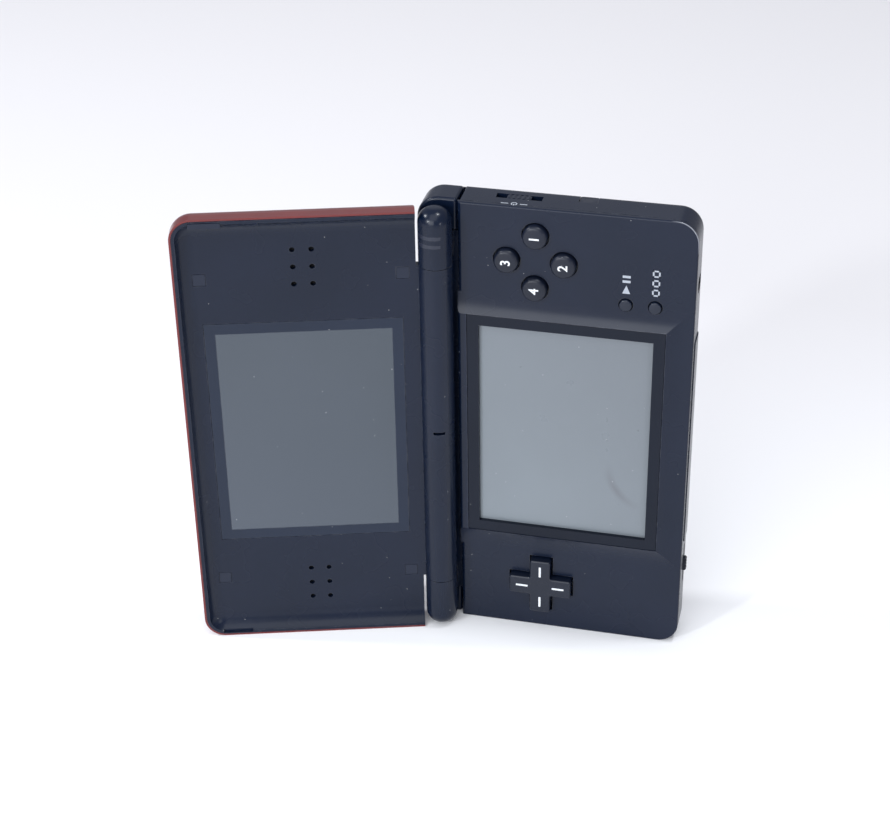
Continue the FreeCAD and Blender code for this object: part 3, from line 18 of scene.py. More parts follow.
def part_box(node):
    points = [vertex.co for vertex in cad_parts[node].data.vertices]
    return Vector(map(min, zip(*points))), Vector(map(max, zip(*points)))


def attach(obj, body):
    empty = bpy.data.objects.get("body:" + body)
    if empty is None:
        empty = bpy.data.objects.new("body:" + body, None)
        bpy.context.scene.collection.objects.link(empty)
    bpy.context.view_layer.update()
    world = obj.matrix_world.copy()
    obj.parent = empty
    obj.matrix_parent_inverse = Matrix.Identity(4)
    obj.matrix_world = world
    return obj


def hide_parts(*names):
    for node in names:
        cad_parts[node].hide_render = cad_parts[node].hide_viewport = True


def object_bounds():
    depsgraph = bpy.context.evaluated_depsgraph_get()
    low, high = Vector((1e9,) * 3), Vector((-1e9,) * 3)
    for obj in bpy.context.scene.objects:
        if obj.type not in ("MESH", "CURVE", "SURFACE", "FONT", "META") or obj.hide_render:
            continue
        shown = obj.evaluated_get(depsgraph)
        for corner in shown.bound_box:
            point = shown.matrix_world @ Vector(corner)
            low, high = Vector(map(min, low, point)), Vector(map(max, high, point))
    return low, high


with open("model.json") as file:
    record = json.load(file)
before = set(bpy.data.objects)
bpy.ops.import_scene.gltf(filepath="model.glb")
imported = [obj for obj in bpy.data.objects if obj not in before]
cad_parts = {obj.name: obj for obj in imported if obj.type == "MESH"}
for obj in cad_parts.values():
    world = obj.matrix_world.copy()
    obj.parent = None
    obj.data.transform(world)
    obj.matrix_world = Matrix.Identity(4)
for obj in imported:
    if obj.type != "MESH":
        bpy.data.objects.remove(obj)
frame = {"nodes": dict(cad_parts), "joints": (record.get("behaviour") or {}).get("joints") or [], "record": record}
cad_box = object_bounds()
MM = 0.001
print("box of the measured parts, mm:", [round(x / MM, 2) for corner in cad_box for x in corner])

# %% [markdown]
# Everything on the game is easiest to place from the hinge. A point is given by how far it is out from the
# hinge, how far it stands up from the hinge axis on the side of the keys and screens, and how far it is
# along the hinge. The lid uses the same three numbers, turned by what its hinge has left to go before the
# game would be flat. The hinge's place and its range come with the measured parts.

# %% Points on the base and on the lid
hinge = next(joint for joint in frame["joints"] if joint["name"] == "lid_hinge")
HINGE_FOOT = Vector((hinge["pos_m"][0], hinge["pos_m"][1], 0))
OPEN_ANGLE = math.radians(hinge["range_deg"][1])
BASE_AXES = Matrix(((1, 0, 0), (0, -1, 0), (0, 0, 1)))
LID_AXES = Matrix.Rotation(math.pi - OPEN_ANGLE, 3, "Z") @ Matrix(((-1, 0, 0), (0, -1, 0), (0, 0, 1)))
AXES = {"base": BASE_AXES, "lid": LID_AXES}


def place(half, out, up, along):
    """The point at those millimetres from the hinge, on the base or on the lid."""
    return HINGE_FOOT + AXES[half] @ Vector((out, up, along)) * MM


def base_numbers(point):
    """How far a point is out from the hinge, up and along it, in millimetres, on the base."""
    return (BASE_AXES.transposed() @ (Vector(point) - HINGE_FOOT)) / MM


def base_box(node):
    """Lowest and highest out, up and along of a measured part of the base."""
    corners = [base_numbers(corner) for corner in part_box(node)]
    low = Vector(map(min, *corners))
    high = Vector(map(max, *corners))
    return low, high


LENGTH = base_box("base_lower_shell")[1].z
FRONT = base_box("base_lower_shell")[1].x
UNDERSIDE = base_box("base_lower_shell")[0].y
print("length", round(LENGTH, 1), "front", round(FRONT, 1), "underside", round(UNDERSIDE, 1), "mm")

# %% [markdown]
# The camera looks down at the game from in front and a little to the right. Its direction is kept as a
# heading, a pitch below the horizon and a small roll, and its three axes are built from them, because that
# is easier to read than three Euler angles.

# %% Camera
camera = bpy.data.objects.new("camera", bpy.data.cameras.new("camera"))
bpy.context.scene.collection.objects.link(camera)
bpy.context.scene.camera = camera
camera.location = Vector((83.67, -461.50, 359.34)) * MM
HEADING = math.radians(14.004)
PITCH = math.radians(31.691)
ROLL = math.radians(-1.0305)
level = Vector((-math.sin(HEADING), math.cos(HEADING), 0))
forward = level * math.cos(PITCH) - Vector((0, 0, 1)) * math.sin(PITCH)
right = Vector((level.y, -level.x, 0))
above = right.cross(forward)
rolled_right = right * math.cos(ROLL) + above * math.sin(ROLL)
rolled_above = above * math.cos(ROLL) - right * math.sin(ROLL)
camera.rotation_euler = Matrix((rolled_right, rolled_above, -forward)).transposed().to_euler()
camera.data.sensor_width = 36
camera.data.lens = 81.38
camera.data.clip_start = 0.01
camera.data.clip_end = 50
print("camera looks along", tuple(round(x, 3) for x in forward))

# %% [markdown]
# The game stands on a pale floor. One square is enough: its colour is painted paler near the game and
# darker away from it, a painted pool of light as on a lit paper backdrop, so the far end of the picture is
# not burnt out.

# %% Floor
FLOOR_HALF = 4.0
FLOOR_Z = cad_box[0].z
LIT_MIDDLE = (0, -0.13, FLOOR_Z)
LIT_RADIUS = 0.10
DIM_RADIUS = 0.34
LIT_TONE = (0.95, 0.95, 0.955, 1)
DIM_TONE = (0.80, 0.782, 0.788, 1)


def linked(name, data):
    """A new object in the scene."""
    thing = bpy.data.objects.new(name, data)
    bpy.context.scene.collection.objects.link(thing)
    return thing


floor_mesh = bpy.data.meshes.new("floor")
floor_signs = ((-1, -1), (1, -1), (1, 1), (-1, 1))
floor_corners = [(x * FLOOR_HALF, y * FLOOR_HALF, FLOOR_Z) for x, y in floor_signs]
floor_mesh.from_pydata(floor_corners, [], [(0, 1, 2, 3)])
floor = linked("floor", floor_mesh)
floor_paint = bpy.data.materials.new("pale_floor")
floor_paint.use_nodes = True
floor_shader = floor_paint.node_tree.nodes["Principled BSDF"]
nodes, links = floor_paint.node_tree.nodes, floor_paint.node_tree.links
# Painted light: the floor's colour falls from the lit tone to the dim tone with the distance from the game.
from_middle = nodes.new("ShaderNodeVectorMath")
from_middle.operation = "DISTANCE"
links.new(nodes.new("ShaderNodeTexCoord").outputs["Object"], from_middle.inputs[0])
from_middle.inputs[1].default_value = LIT_MIDDLE
falloff = nodes.new("ShaderNodeMapRange")
falloff.inputs["From Min"].default_value = LIT_RADIUS
falloff.inputs["From Max"].default_value = DIM_RADIUS
links.new(from_middle.outputs["Value"], falloff.inputs["Value"])
floor_painted_light = nodes.new("ShaderNodeMix")
floor_painted_light.data_type = "RGBA"
links.new(falloff.outputs["Result"], floor_painted_light.inputs["Factor"])
floor_painted_light.inputs[6].default_value = LIT_TONE
floor_painted_light.inputs[7].default_value = DIM_TONE
links.new(floor_painted_light.outputs[2], floor_shader.inputs["Base Color"])
floor_shader.inputs["Roughness"].default_value = 0.55
floor_shader.inputs["Specular IOR Level"].default_value = 0.2
floor.data.materials.append(floor_paint)
print("floor at", round(FLOOR_Z, 4), "m, dim from", DIM_RADIUS, "m out")

# %% [markdown]
# The studio has a pale world and soft lights. The black plastic is so dark that most of what is seen of it
# is the light it mirrors, so where the soft boxes stand matters more than how bright they are. The two big
# sheets in front and overhead light the slopes round the screen, a faint one behind lights the end wall,
# and the four small boxes leave the soft spots on the rounded end of the hinge.

# %% Light
AIM = Vector((0, 0, 0.06))
NEAR_BOX = 1.2
FAR_SHEET = 2.0


def soft_box(name, direction, distance, size, power):
    """A square soft light in that direction from the middle of the game, facing it."""
    lamp = bpy.data.lights.new(name, "AREA")
    lamp.shape = "SQUARE"
    lamp.size = size
    lamp.energy = power
    lamp.color = (0.93, 0.96, 1.0)
    holder = linked(name, lamp)
    holder.location = AIM + Vector(direction).normalized() * distance
    holder.rotation_euler = (AIM - holder.location).to_track_quat("-Z", "Y").to_euler()


soft_box("left_box", (-0.75, -0.11, 0.66), NEAR_BOX, 0.08, 5.2)
soft_box("front_left_box", (-0.52, -0.75, 0.40), NEAR_BOX, 0.08, 4.4)
soft_box("top_box", (0.26, 0.03, 0.97), NEAR_BOX, 0.10, 4.2)
soft_box("right_box", (0.75, -0.62, 0.16), NEAR_BOX, 0.14, 1.2)
soft_box("front_sheet", (-0.20, -0.90, 0.29), FAR_SHEET, 1.1, 17)
soft_box("back_sheet", (-0.20, 0.83, 0.53), FAR_SHEET, 1.1, 0.9)
soft_box("ceiling", (0.0, -0.5, 0.87), 1.8, 1.5, 12.5)
world = bpy.data.worlds.new("studio")
bpy.context.scene.world = world
world.use_nodes = True
background = world.node_tree.nodes["Background"]
background.inputs["Color"].default_value = (0.86, 0.88, 0.96, 1)
background.inputs["Strength"].default_value = 0.46
bpy.context.scene.view_settings.view_transform = "Standard"

# %% [markdown]
# ## Finishes
# Every finish is built from shader nodes on the surface's own place in space, so it needs no picture and
# no unwrapping. One helper writes a small tree for all of the plastics: a base colour that drifts a little
# from place to place, a fine bump for the moulded grain, a roughness that varies where fingers have
# polished it, lighter worn edges, a painted highlight on one rounded corner, and a few specks of dust.

# %% A short way to write shader nodes


class Tree:
    """A material's node tree, with one short call for each kind of node."""

    def __init__(self, name):
        self.material = bpy.data.materials.new(name)
        self.material.use_nodes = True
        self.nodes = self.material.node_tree.nodes
        self.links = self.material.node_tree.links
        self.shader = self.nodes["Principled BSDF"]
        self.where = self.add("ShaderNodeTexCoord").outputs["Object"]

    def add(self, kind, **settings):
        node = self.nodes.new(kind)
        for key, value in settings.items():
            setattr(node, key, value)
        return node

    def feed(self, socket, value):
        """Link a socket to another, or give it a plain value."""
        if isinstance(value, bpy.types.NodeSocket):
            self.links.new(value, socket)
        else:
            socket.default_value = value

    def math(self, operation, first, second=0.0, clamp=False):
        node = self.add("ShaderNodeMath", operation=operation, use_clamp=clamp)
        self.feed(node.inputs[0], first)
        self.feed(node.inputs[1], second)
        return node.outputs[0]

    def noise(self, scale, detail=3.0, where=None):
        """Soft noise from 0 to 1; scale is in waves per metre."""
        node = self.add("ShaderNodeTexNoise")
        node.inputs["Scale"].default_value = scale
        node.inputs["Detail"].default_value = detail
        self.links.new(where or self.where, node.inputs["Vector"])
        return node.outputs["Fac"]

    def band(self, value, low, high, out_low=0.0, out_high=1.0):
        """Map a value from one range to another, held inside it."""
        node = self.add("ShaderNodeMapRange", clamp=True)
        for place_in, number in zip((1, 2, 3, 4), (low, high, out_low, out_high)):
            node.inputs[place_in].default_value = number
        self.feed(node.inputs[0], value)
        return node.outputs[0]

    def mix(self, share, first, second):
        """Blend two colours."""
        node = self.add("ShaderNodeMix", data_type="RGBA")
        self.feed(node.inputs[0], share)
        self.feed(node.inputs[6], first if isinstance(first, bpy.types.NodeSocket) else (*first, 1))
        self.feed(node.inputs[7], second if isinstance(second, bpy.types.NodeSocket) else (*second, 1))
        return node.outputs[2]

    def bump(self, height, distance, strength=1.0):
        """A normal that leans with a height, whose steps are that many metres tall."""
        node = self.add("ShaderNodeBump")
        node.inputs["Strength"].default_value = strength
        node.inputs["Distance"].default_value = distance
        self.feed(node.inputs["Height"], height)
        return node.outputs["Normal"]

    def near(self, centre, radius):
        """1 at a point of the object, falling to 0 at that distance from it."""
        node = self.add("ShaderNodeVectorMath", operation="DISTANCE")
        self.links.new(self.where, node.inputs[0])
        node.inputs[1].default_value = centre
        return self.band(node.outputs["Value"], 0.0, radius, 1.0, 0.0)

    def edges(self, radius):
        """1 on the sharp edges of a piece and 0 on its flats, from how a rounded edge would turn."""
        bevel = self.add("ShaderNodeBevel", samples=4)
        bevel.inputs["Radius"].default_value = radius
        turn = self.add("ShaderNodeVectorMath", operation="DOT_PRODUCT")
        geometry = self.add("ShaderNodeNewGeometry")
        self.links.new(bevel.outputs["Normal"], turn.inputs[0])
        self.links.new(geometry.outputs["Normal"], turn.inputs[1])
        return self.band(turn.outputs["Value"], 0.985, 0.80)

    def on_rounding(self, up):
        """1 where the surface is turning from one way up to level, as on a rounded edge."""
        turn = self.add("ShaderNodeVectorMath", operation="DOT_PRODUCT")
        self.links.new(self.add("ShaderNodeNewGeometry").outputs["Normal"], turn.inputs[0])
        turn.inputs[1].default_value = up
        off = self.math("ABSOLUTE", self.math("SUBTRACT", turn.outputs["Value"], 0.62))
        return self.band(off, 0.10, 0.34, 1.0, 0.0)

    def finish(self, colour, roughness, normal=None, gloss=0.5):
        self.feed(self.shader.inputs["Base Color"], colour)
        self.feed(self.shader.inputs["Roughness"], roughness)
        self.shader.inputs["Specular IOR Level"].default_value = gloss
        if normal:
            self.links.new(normal, self.shader.inputs["Normal"])
        return self.material


GRAIN = 5200.0
DRIFT = 38.0
POLISH = 90.0
DUST_CELLS = 400.0
DUST_SHARE = 0.72
DUST_RADIUS = 0.042


def dust(tree):
    """Single pale specks: one cell in a few of a random lattice holds a speck."""
    lattice = tree.add("ShaderNodeTexVoronoi")
    lattice.inputs["Scale"].default_value = DUST_CELLS
    tree.links.new(tree.where, lattice.inputs["Vector"])
    chosen = tree.add("ShaderNodeSeparateColor")
    tree.links.new(lattice.outputs["Color"], chosen.inputs[0])
    speck = tree.math("LESS_THAN", lattice.outputs["Distance"], DUST_RADIUS)
    return tree.math("MULTIPLY", speck, tree.math("GREATER_THAN", chosen.outputs[0], DUST_SHARE))


def moulded(
    name, colour, pale, roughness, grain=0.00001, wear=0.0, worn_spot=None, specks=True, gloss=0.5
):
    """Spark-textured moulded plastic: its colour drifts towards a paler one, edges wear, a corner can take a
    painted highlight, dust settles.
    """
    tree = Tree(name)
    shade = tree.mix(tree.band(tree.noise(DRIFT), 0.35, 0.7), colour, pale)
    rough = tree.band(tree.noise(POLISH, 2.0), 0.25, 0.75, roughness - 0.03, roughness + 0.04)
    if wear:
        edge = tree.math("MULTIPLY", tree.edges(0.0003), tree.band(tree.noise(420.0), 0.35, 0.65))
        edge = tree.math("MULTIPLY", edge, wear)
        # Wear and a painted highlight: near the corner, the colour turns paler only where the rounded edge faces
        # partway between the deck and level, where a highlight lies.
        if worn_spot:
            spot = tree.math("MULTIPLY", tree.near(*worn_spot), tree.on_rounding(BASE_AXES.col[1]))
            edge = tree.math("MAXIMUM", edge, tree.band(spot, 0.10, 0.5))
        shade = tree.mix(edge, shade, (0.26, 0.27, 0.30))
        rough = tree.math("SUBTRACT", rough, tree.math("MULTIPLY", edge, 0.15))
    if specks:
        shade = tree.mix(dust(tree), shade, (0.42, 0.42, 0.42))
    normal = tree.bump(tree.noise(GRAIN, 2.0), grain, 0.4)
    return tree.finish(shade, rough, normal, gloss)


# %% [markdown]
# The case is a near-black plastic with a blue cast and a fine spark-eroded grain. Black plastic has almost
# no colour of its own, so the base colour is very dark and the satin sheen does the work. On the rounded
# edge at the corner of the base that points at the viewer, a paler streak is painted: partly wear, where
# the grain is rubbed off as on the corner that meets the table, and partly a painted highlight.

# %% Case, keys and rubber
NAVY_BLACK = (0.0025, 0.0065, 0.019)
NAVY_WORN = (0.0040, 0.0085, 0.0235)
# Wear and a painted highlight are both painted on the rounded edge near this corner.
wear_and_highlight_corner = place("base", FRONT - 1.2, -3.6, LENGTH - 2.6)
WEAR_AND_HIGHLIGHT_RADIUS = 0.0075
POLISHED = 0.000004
VERY_FINE = 0.000005
FINE = 0.000006
COARSE = 0.00002
finishes = {}


def add_moulded(name, *settings, **more):
    finishes[name] = moulded(name, *settings, **more)


WEAR_AND_HIGHLIGHT_SPOT = (wear_and_highlight_corner, WEAR_AND_HIGHLIGHT_RADIUS)
add_moulded("black_case", NAVY_BLACK, NAVY_WORN, 0.26, wear=0.22, worn_spot=WEAR_AND_HIGHLIGHT_SPOT, gloss=0.29)
add_moulded("screen_frame", (0.002, 0.0045, 0.012), (0.003, 0.006, 0.015), 0.30, VERY_FINE, gloss=0.22)
add_moulded("key_plastic", (0.003, 0.0055, 0.014), (0.005, 0.008, 0.019), 0.36, POLISHED, gloss=0.36)
add_moulded("soft_key", (0.003, 0.007, 0.019), (0.005, 0.009, 0.023), 0.34, FINE, gloss=0.42)
add_moulded("pad_plastic", (0.003, 0.006, 0.016), (0.004, 0.008, 0.02), 0.28, VERY_FINE, wear=0.5, gloss=0.40)
add_moulded("lid_frame", (0.002, 0.008, 0.024), (0.004, 0.011, 0.030), 0.34, FINE, wear=0.2, gloss=0.38)
add_moulded("seal_rubber", (0.0050, 0.0095, 0.024), (0.0070, 0.0120, 0.029), 0.46, COARSE, gloss=0.36)
add_moulded("contact_rubber", (0.10, 0.10, 0.10), (0.14, 0.14, 0.14), 0.7)
add_moulded("socket_plastic", (0.006, 0.006, 0.007), (0.01, 0.01, 0.011), 0.5)
add_moulded("light_window", (0.008, 0.012, 0.028), (0.010, 0.014, 0.032), 0.30, POLISHED)
add_moulded("battery_wrap", (0.05, 0.06, 0.08), (0.07, 0.08, 0.10), 0.4)
print(len(finishes), "moulded finishes")

# %% [markdown]
# The lid's outer shell is red plastic with fine metal flakes under a clear coat. The coat is its own layer
# in the shader, smooth over a rougher colour. Fine handling scratches show only in its gloss: they are
# noise that is stretched along one direction and bumps the coat alone.

# %% Red lid
red = Tree("red_lid")
DEEP_RED = (0.115, 0.0010, 0.0012)
PALE_RED = (0.150, 0.0016, 0.0018)
FLAKE_RED = (0.50, 0.025, 0.02)
FLAKES = 9000.0
SCRATCHES = 2600.0
red_shade = red.mix(red.band(red.noise(60.0), 0.3, 0.7), DEEP_RED, PALE_RED)
flakes = red.add("ShaderNodeTexVoronoi")
flakes.inputs["Scale"].default_value = FLAKES
red.links.new(red.where, flakes.inputs["Vector"])
flake_share = red.band(flakes.outputs["Distance"], 0.0, 0.25, 0.25, 0.0)
red_shade = red.mix(flake_share, red_shade, FLAKE_RED)
red.shader.inputs["Coat Weight"].default_value = 0.6
red.shader.inputs["Coat Roughness"].default_value = 0.06
red.shader.inputs["Metallic"].default_value = 0.25
stretched = red.add("ShaderNodeMapping")
stretched.inputs["Scale"].default_value = (1.0, 1.0, 0.04)
stretched.inputs["Rotation"].default_value = (0.3, 0.5, 0.2)
red.links.new(red.where, stretched.inputs["Vector"])
scratches = red.noise(SCRATCHES, 1.0, stretched.outputs["Vector"])
coat_normal = red.bump(red.band(scratches, 0.62, 0.68), 0.000004, 0.35)
red.links.new(coat_normal, red.shader.inputs["Coat Normal"])
finishes["red_lid"] = red.finish(red_shade, red.band(red.noise(400.0), 0.3, 0.7, 0.28, 0.36))

# %% [markdown]
# The screens are switched off, so what shows is the grey polarizer under the plastic: cooler and darker
# behind the upper window, paler under the touch film, which scatters more light. On both, painted light
# and shade runs from one corner to the other, and the touch film carries a faint smear where the stylus
# has rubbed it.

# %% Screens
SCREEN_MIDDLE = base_numbers((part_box("touch_panel")[0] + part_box("touch_panel")[1]) / 2)
SMEAR_MIDDLE = place("base", 61.0, 0.0, 58.0)
SMEAR_RADIUS = 0.0150
SMEAR_WIDTH = 0.0016
SMEAR_PLACE = place("base", 49.9, -3.4, 50.5)
SMEAR_REACH = 0.0085
SCREEN_HALF = (23, 31)


def screen_glass(name, shade_start_colour, shade_end_colour, start, end, roughness, smear=None):
    """Glass over a grey polarizer, with painted light and shade that runs from one corner to the other."""
    tree = Tree(name)
    # Painted light and shade: the tone goes from the start colour to the end colour across the screen, as the
    # light falls across it.
    run = tree.add("ShaderNodeVectorMath", operation="SUBTRACT")
    tree.links.new(tree.where, run.inputs[0])
    run.inputs[1].default_value = start
    along = tree.add("ShaderNodeVectorMath", operation="DOT_PRODUCT")
    tree.links.new(run.outputs["Vector"], along.inputs[0])
    way = end - start
    along.inputs[1].default_value = way / way.length_squared
    shade = tree.mix(tree.band(along.outputs["Value"], 0.0, 1.0), shade_start_colour, shade_end_colour)
    shade = tree.mix(tree.band(tree.noise(30.0, 2.0), 0.35, 0.75, 0.0, 0.35), shade, shade_end_colour)
    rough = tree.band(tree.noise(120.0, 5.0), 0.3, 0.7, roughness - 0.03, roughness + 0.04)
    if smear:
        mark = smear(tree)
        shade = tree.mix(tree.math("MULTIPLY", mark, 0.6), shade, (0.10, 0.10, 0.115))
    shade = tree.mix(dust(tree), shade, (0.5, 0.5, 0.5))
    return tree.finish(shade, rough, tree.bump(tree.noise(1500.0, 1.0), 0.000002, 0.3))


def stylus_smear(tree):
    """A short soft arc near the lower front of the touch film."""
    away = tree.add("ShaderNodeVectorMath", operation="DISTANCE")
    tree.links.new(tree.where, away.inputs[0])
    away.inputs[1].default_value = SMEAR_MIDDLE
    ring = tree.math("ABSOLUTE", tree.math("SUBTRACT", away.outputs["Value"], SMEAR_RADIUS))
    line = tree.band(ring, 0.0, SMEAR_WIDTH, 1.0, 0.0)
    return tree.math("MULTIPLY", line, tree.near(SMEAR_PLACE, SMEAR_REACH))


finishes["touch_film"] = screen_glass(
    "touch_film",
    (0.182, 0.208, 0.230),
    (0.140, 0.157, 0.176),
    place("base", SCREEN_MIDDLE.x - SCREEN_HALF[0], 0, SCREEN_MIDDLE.z - SCREEN_HALF[1]),
    place("base", SCREEN_MIDDLE.x + SCREEN_HALF[0], 0, SCREEN_MIDDLE.z + SCREEN_HALF[1]),
    0.30,
    stylus_smear,
)
finishes["screen_window"] = screen_glass(
    "screen_window",
    (0.044, 0.056, 0.070),
    (0.060, 0.073, 0.094),
    place("lid", 12, 0, 98),
    place("lid", 58, 0, 35),
    0.22,
)
finishes["screen_panel"] = screen_glass(
    "screen_panel",
    (0.10, 0.11, 0.12),
    (0.08, 0.09, 0.10),
    place("base", 10, 0, 30),
    place("base", 60, 0, 100),
    0.35,
)

# %% [markdown]
# Metal parts are few and small: screws, hinge pins and springs in zinc-plated steel. The board is green
# glass fibre under solder mask and the flat cable is amber film; they only show where the case opens.

# %% Metal, board and cable


def plated(name, colour, roughness):
    tree = Tree(name)
    tree.shader.inputs["Metallic"].default_value = 1.0
    shade = tree.mix(tree.band(tree.noise(300.0), 0.3, 0.7), colour, tuple(c * 0.75 for c in colour))
    rough = tree.band(tree.noise(900.0), 0.3, 0.7, roughness - 0.06, roughness + 0.08)
    return tree.finish(shade, rough, tree.bump(tree.noise(3000.0), 0.000004, 0.4))


finishes["steel"] = plated("steel", (0.52, 0.52, 0.54), 0.34)
add_moulded("circuit_board", (0.01, 0.08, 0.03), (0.015, 0.11, 0.045), 0.35)
add_moulded("film_cable", (0.30, 0.13, 0.02), (0.36, 0.17, 0.04), 0.3)
add_moulded("white_print", (0.66, 0.69, 0.72), (0.74, 0.76, 0.78), 0.5, specks=False)
add_moulded("grey_print", (0.34, 0.37, 0.42), (0.42, 0.45, 0.49), 0.5, specks=False)
add_moulded("speaker_felt", (0.004, 0.004, 0.005), (0.006, 0.006, 0.007), 0.9, 0.00005)
print("finishes:", ", ".join(finishes))

# %% [markdown]
# The record that came with the parts says which finish each one has. Giving each part's material slots
# the finish of that name paints everything at once; later cells only replace what needs more shape.

# %% Paint the measured parts
slot_of = {part["node"]: part["material_slot"] for part in frame["record"]["subparts"]}
for name, part in frame["nodes"].items():
    part.data.materials.clear()
    part.data.materials.append(finishes[slot_of[name]])
for name in ("lower_speaker", "upper_speaker", "microphone"):
    frame["nodes"][name].material_slots[0].material = finishes["speaker_felt"]
frame["nodes"]["upper_screen_bezel"].material_slots[0].material = finishes["lid_frame"]
print(len(slot_of), "parts painted with", len(set(slot_of.values())), "finishes")

# %% [markdown]
# ## New pieces
# The measured keys, slides, screws and stylus are plain, because they only have to move and fit. Each gets
# a detailed piece in its place. They could be modelled by hand with loops and bevels. Here every one is a
# stack of rings instead: a closed line is drawn once, and each ring of the stack is that line at another
# height and another inset. One helper then serves a domed key, a cross and a screw head alike.

# %% A stack of rings


def make_piece(name, points, faces, body, finish, replaces=()):
    """A mesh piece that rides on a body, with smooth faces and crisp edges where it turns sharply."""
    mesh = bpy.data.meshes.new(name)
    mesh.from_pydata([tuple(point) for point in points], [], faces)
    work = bmesh.new()
    work.from_mesh(mesh)
    bmesh.ops.recalc_face_normals(work, faces=work.faces)
    work.to_mesh(mesh)
    work.free()
    mesh.shade_smooth()
    mesh.set_sharp_from_angle(angle=math.radians(38))
    mesh.materials.append(finishes[finish])
    piece = linked(name, mesh)
    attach(piece, body)
    if replaces:
        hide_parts(*replaces)
    return piece


def stack(rings):
    """Points and faces of a closed solid through rings of the same number of points."""
    count = len(rings[0])
    points = [point for ring in rings for point in ring]
    faces = [tuple(range(count)), tuple(len(points) - count + k for k in range(count))]
    for level in range(len(rings) - 1):
        low = level * count
        for k in range(count):
            after = (k + 1) % count
            faces.append((low + k, low + after, low + count + after, low + count + k))
    return points, faces


def joined(solids):
    """Several solids' points and faces as one list, for a group such as a set of screws."""
    points = []
    faces = []
    for more_points, more_faces in solids:
        faces += [tuple(len(points) + k for k in face) for face in more_faces]
        points += more_points
    return points, faces


def facing(half, centre, profile, outline):
    """Rings that stand up from a face: profile is pairs of inset and height, outline gives flat points."""
    out, along = centre
    rings = []
    for inset, up in profile:
        rings.append([place(half, out + a, up, along + b) for a, b in outline(inset)])
    return rings


ROUND_POINTS = 72


def round_outline(radius):
    """A circle's points for any inset."""

    def points(inset):
        turns = [2 * math.pi * k / ROUND_POINTS for k in range(ROUND_POINTS)]
        return [((radius - inset) * math.cos(turn), (radius - inset) * math.sin(turn)) for turn in turns]

    return points


def cornered_outline(corners, radius, arc_points=7):
    """A right-angled outline, given anticlockwise, whose corners are arcs; works for any inset."""

    def points(inset):
        found = []
        for k, corner in enumerate(corners):
            here = Vector(corner)
            arriving = (here - Vector(corners[k - 1])).normalized()
            leaving = (Vector(corners[(k + 1) % len(corners)]) - here).normalized()
            middle = here + radius * (leaving - arriving)
            reach = radius - arriving.cross(leaving) * inset
            for step in range(arc_points):
                turn = math.pi / 2 * step / (arc_points - 1)
                spoke = math.sin(turn) * arriving - math.cos(turn) * leaving
                found.append(tuple(middle + reach * spoke))
        return found

    return points


def box_outline(width, height, radius, arc_points=7):
    half_wide, half_high = width / 2, height / 2
    signs = ((-1, -1), (1, -1), (1, 1), (-1, 1))
    corners = [(half_wide * across, half_high * up) for across, up in signs]
    return cornered_outline(corners, radius, arc_points)


def eased_edge(top, radius, steps=6):
    """Profile of a rounded top edge, from the wall to the flat."""
    turns = [math.pi / 2 * step / steps for step in range(steps + 1)]
    return [(radius * (1 - math.cos(turn)), top - radius * (1 - math.sin(turn))) for turn in turns]


# %% [markdown]
# ### Round keys
# Each key is a short hard cap with a rounded edge and a slightly crowned top, on a flange that keeps it
# from falling out of its hole. The crown matters: a flat top goes evenly grey, while a crowned one catches
# one arc of light along its upper edge. The two small menu keys are the same shape, smaller and lower.

# %% Key caps
DECK_UP = -3.5
FLANGE = 0.8


def domed_key(name, radius, edge, crown, finish):
    """Make the cap of one key; gives its centre and the height of its top."""
    low, high = base_box(name)
    centre = ((low.x + high.x) / 2, (low.z + high.z) / 2)
    flange_wide = (high.x - low.x) / 2
    top = high.y - crown
    profile = [(radius - flange_wide, low.y), (radius - flange_wide, low.y + FLANGE), (0.0, low.y + FLANGE)]
    profile += eased_edge(top, edge)
    for share in (0.25, 0.5, 0.75, 0.96):
        inset = edge + (radius - edge) * share
        profile.append((inset, top + crown * math.sin(math.pi / 2 * share)))
    points, faces = stack(facing("base", centre, profile, round_outline(radius)))
    make_piece(name + "_cap", points, faces, name, finish, (name,))
    return centre, high.y


KEY_RADIUS = 3.35
KEY_EDGE = 1.0
KEY_CROWN = 0.22
MENU_RADIUS = 1.65
MENU_EDGE = 0.3
MENU_CROWN = 0.12
key_tops = {}
for side in ("up", "left", "right", "down"):
    key_tops[side] = domed_key("face_button_" + side, KEY_RADIUS, KEY_EDGE, KEY_CROWN, "key_plastic")
menu_centres = {}
for word in ("start", "select"):
    menu_centres[word] = domed_key(word + "_button", MENU_RADIUS, MENU_EDGE, MENU_CROWN, "soft_key")[0]
print("key tops at", {side: round(top, 2) for side, (centre, top) in key_tops.items()})

# %% [markdown]
# ### Numbers on the keys
# The keys carry plain numbers, printed in white. Blender's own font gives the outline. The text becomes
# a mesh straight away, so that it rides on its key like any other piece. Its letters read along the hinge,
# because that is the way up when the game is held in two hands.

# %% Printed numbers
NUMBER_HEIGHT = 2.6
NUMBER_BOLD = 0.018
PRINT_DEPTH = 0.02
PRINT_GAP = 0.005
PRINT_ROOT = 0.05


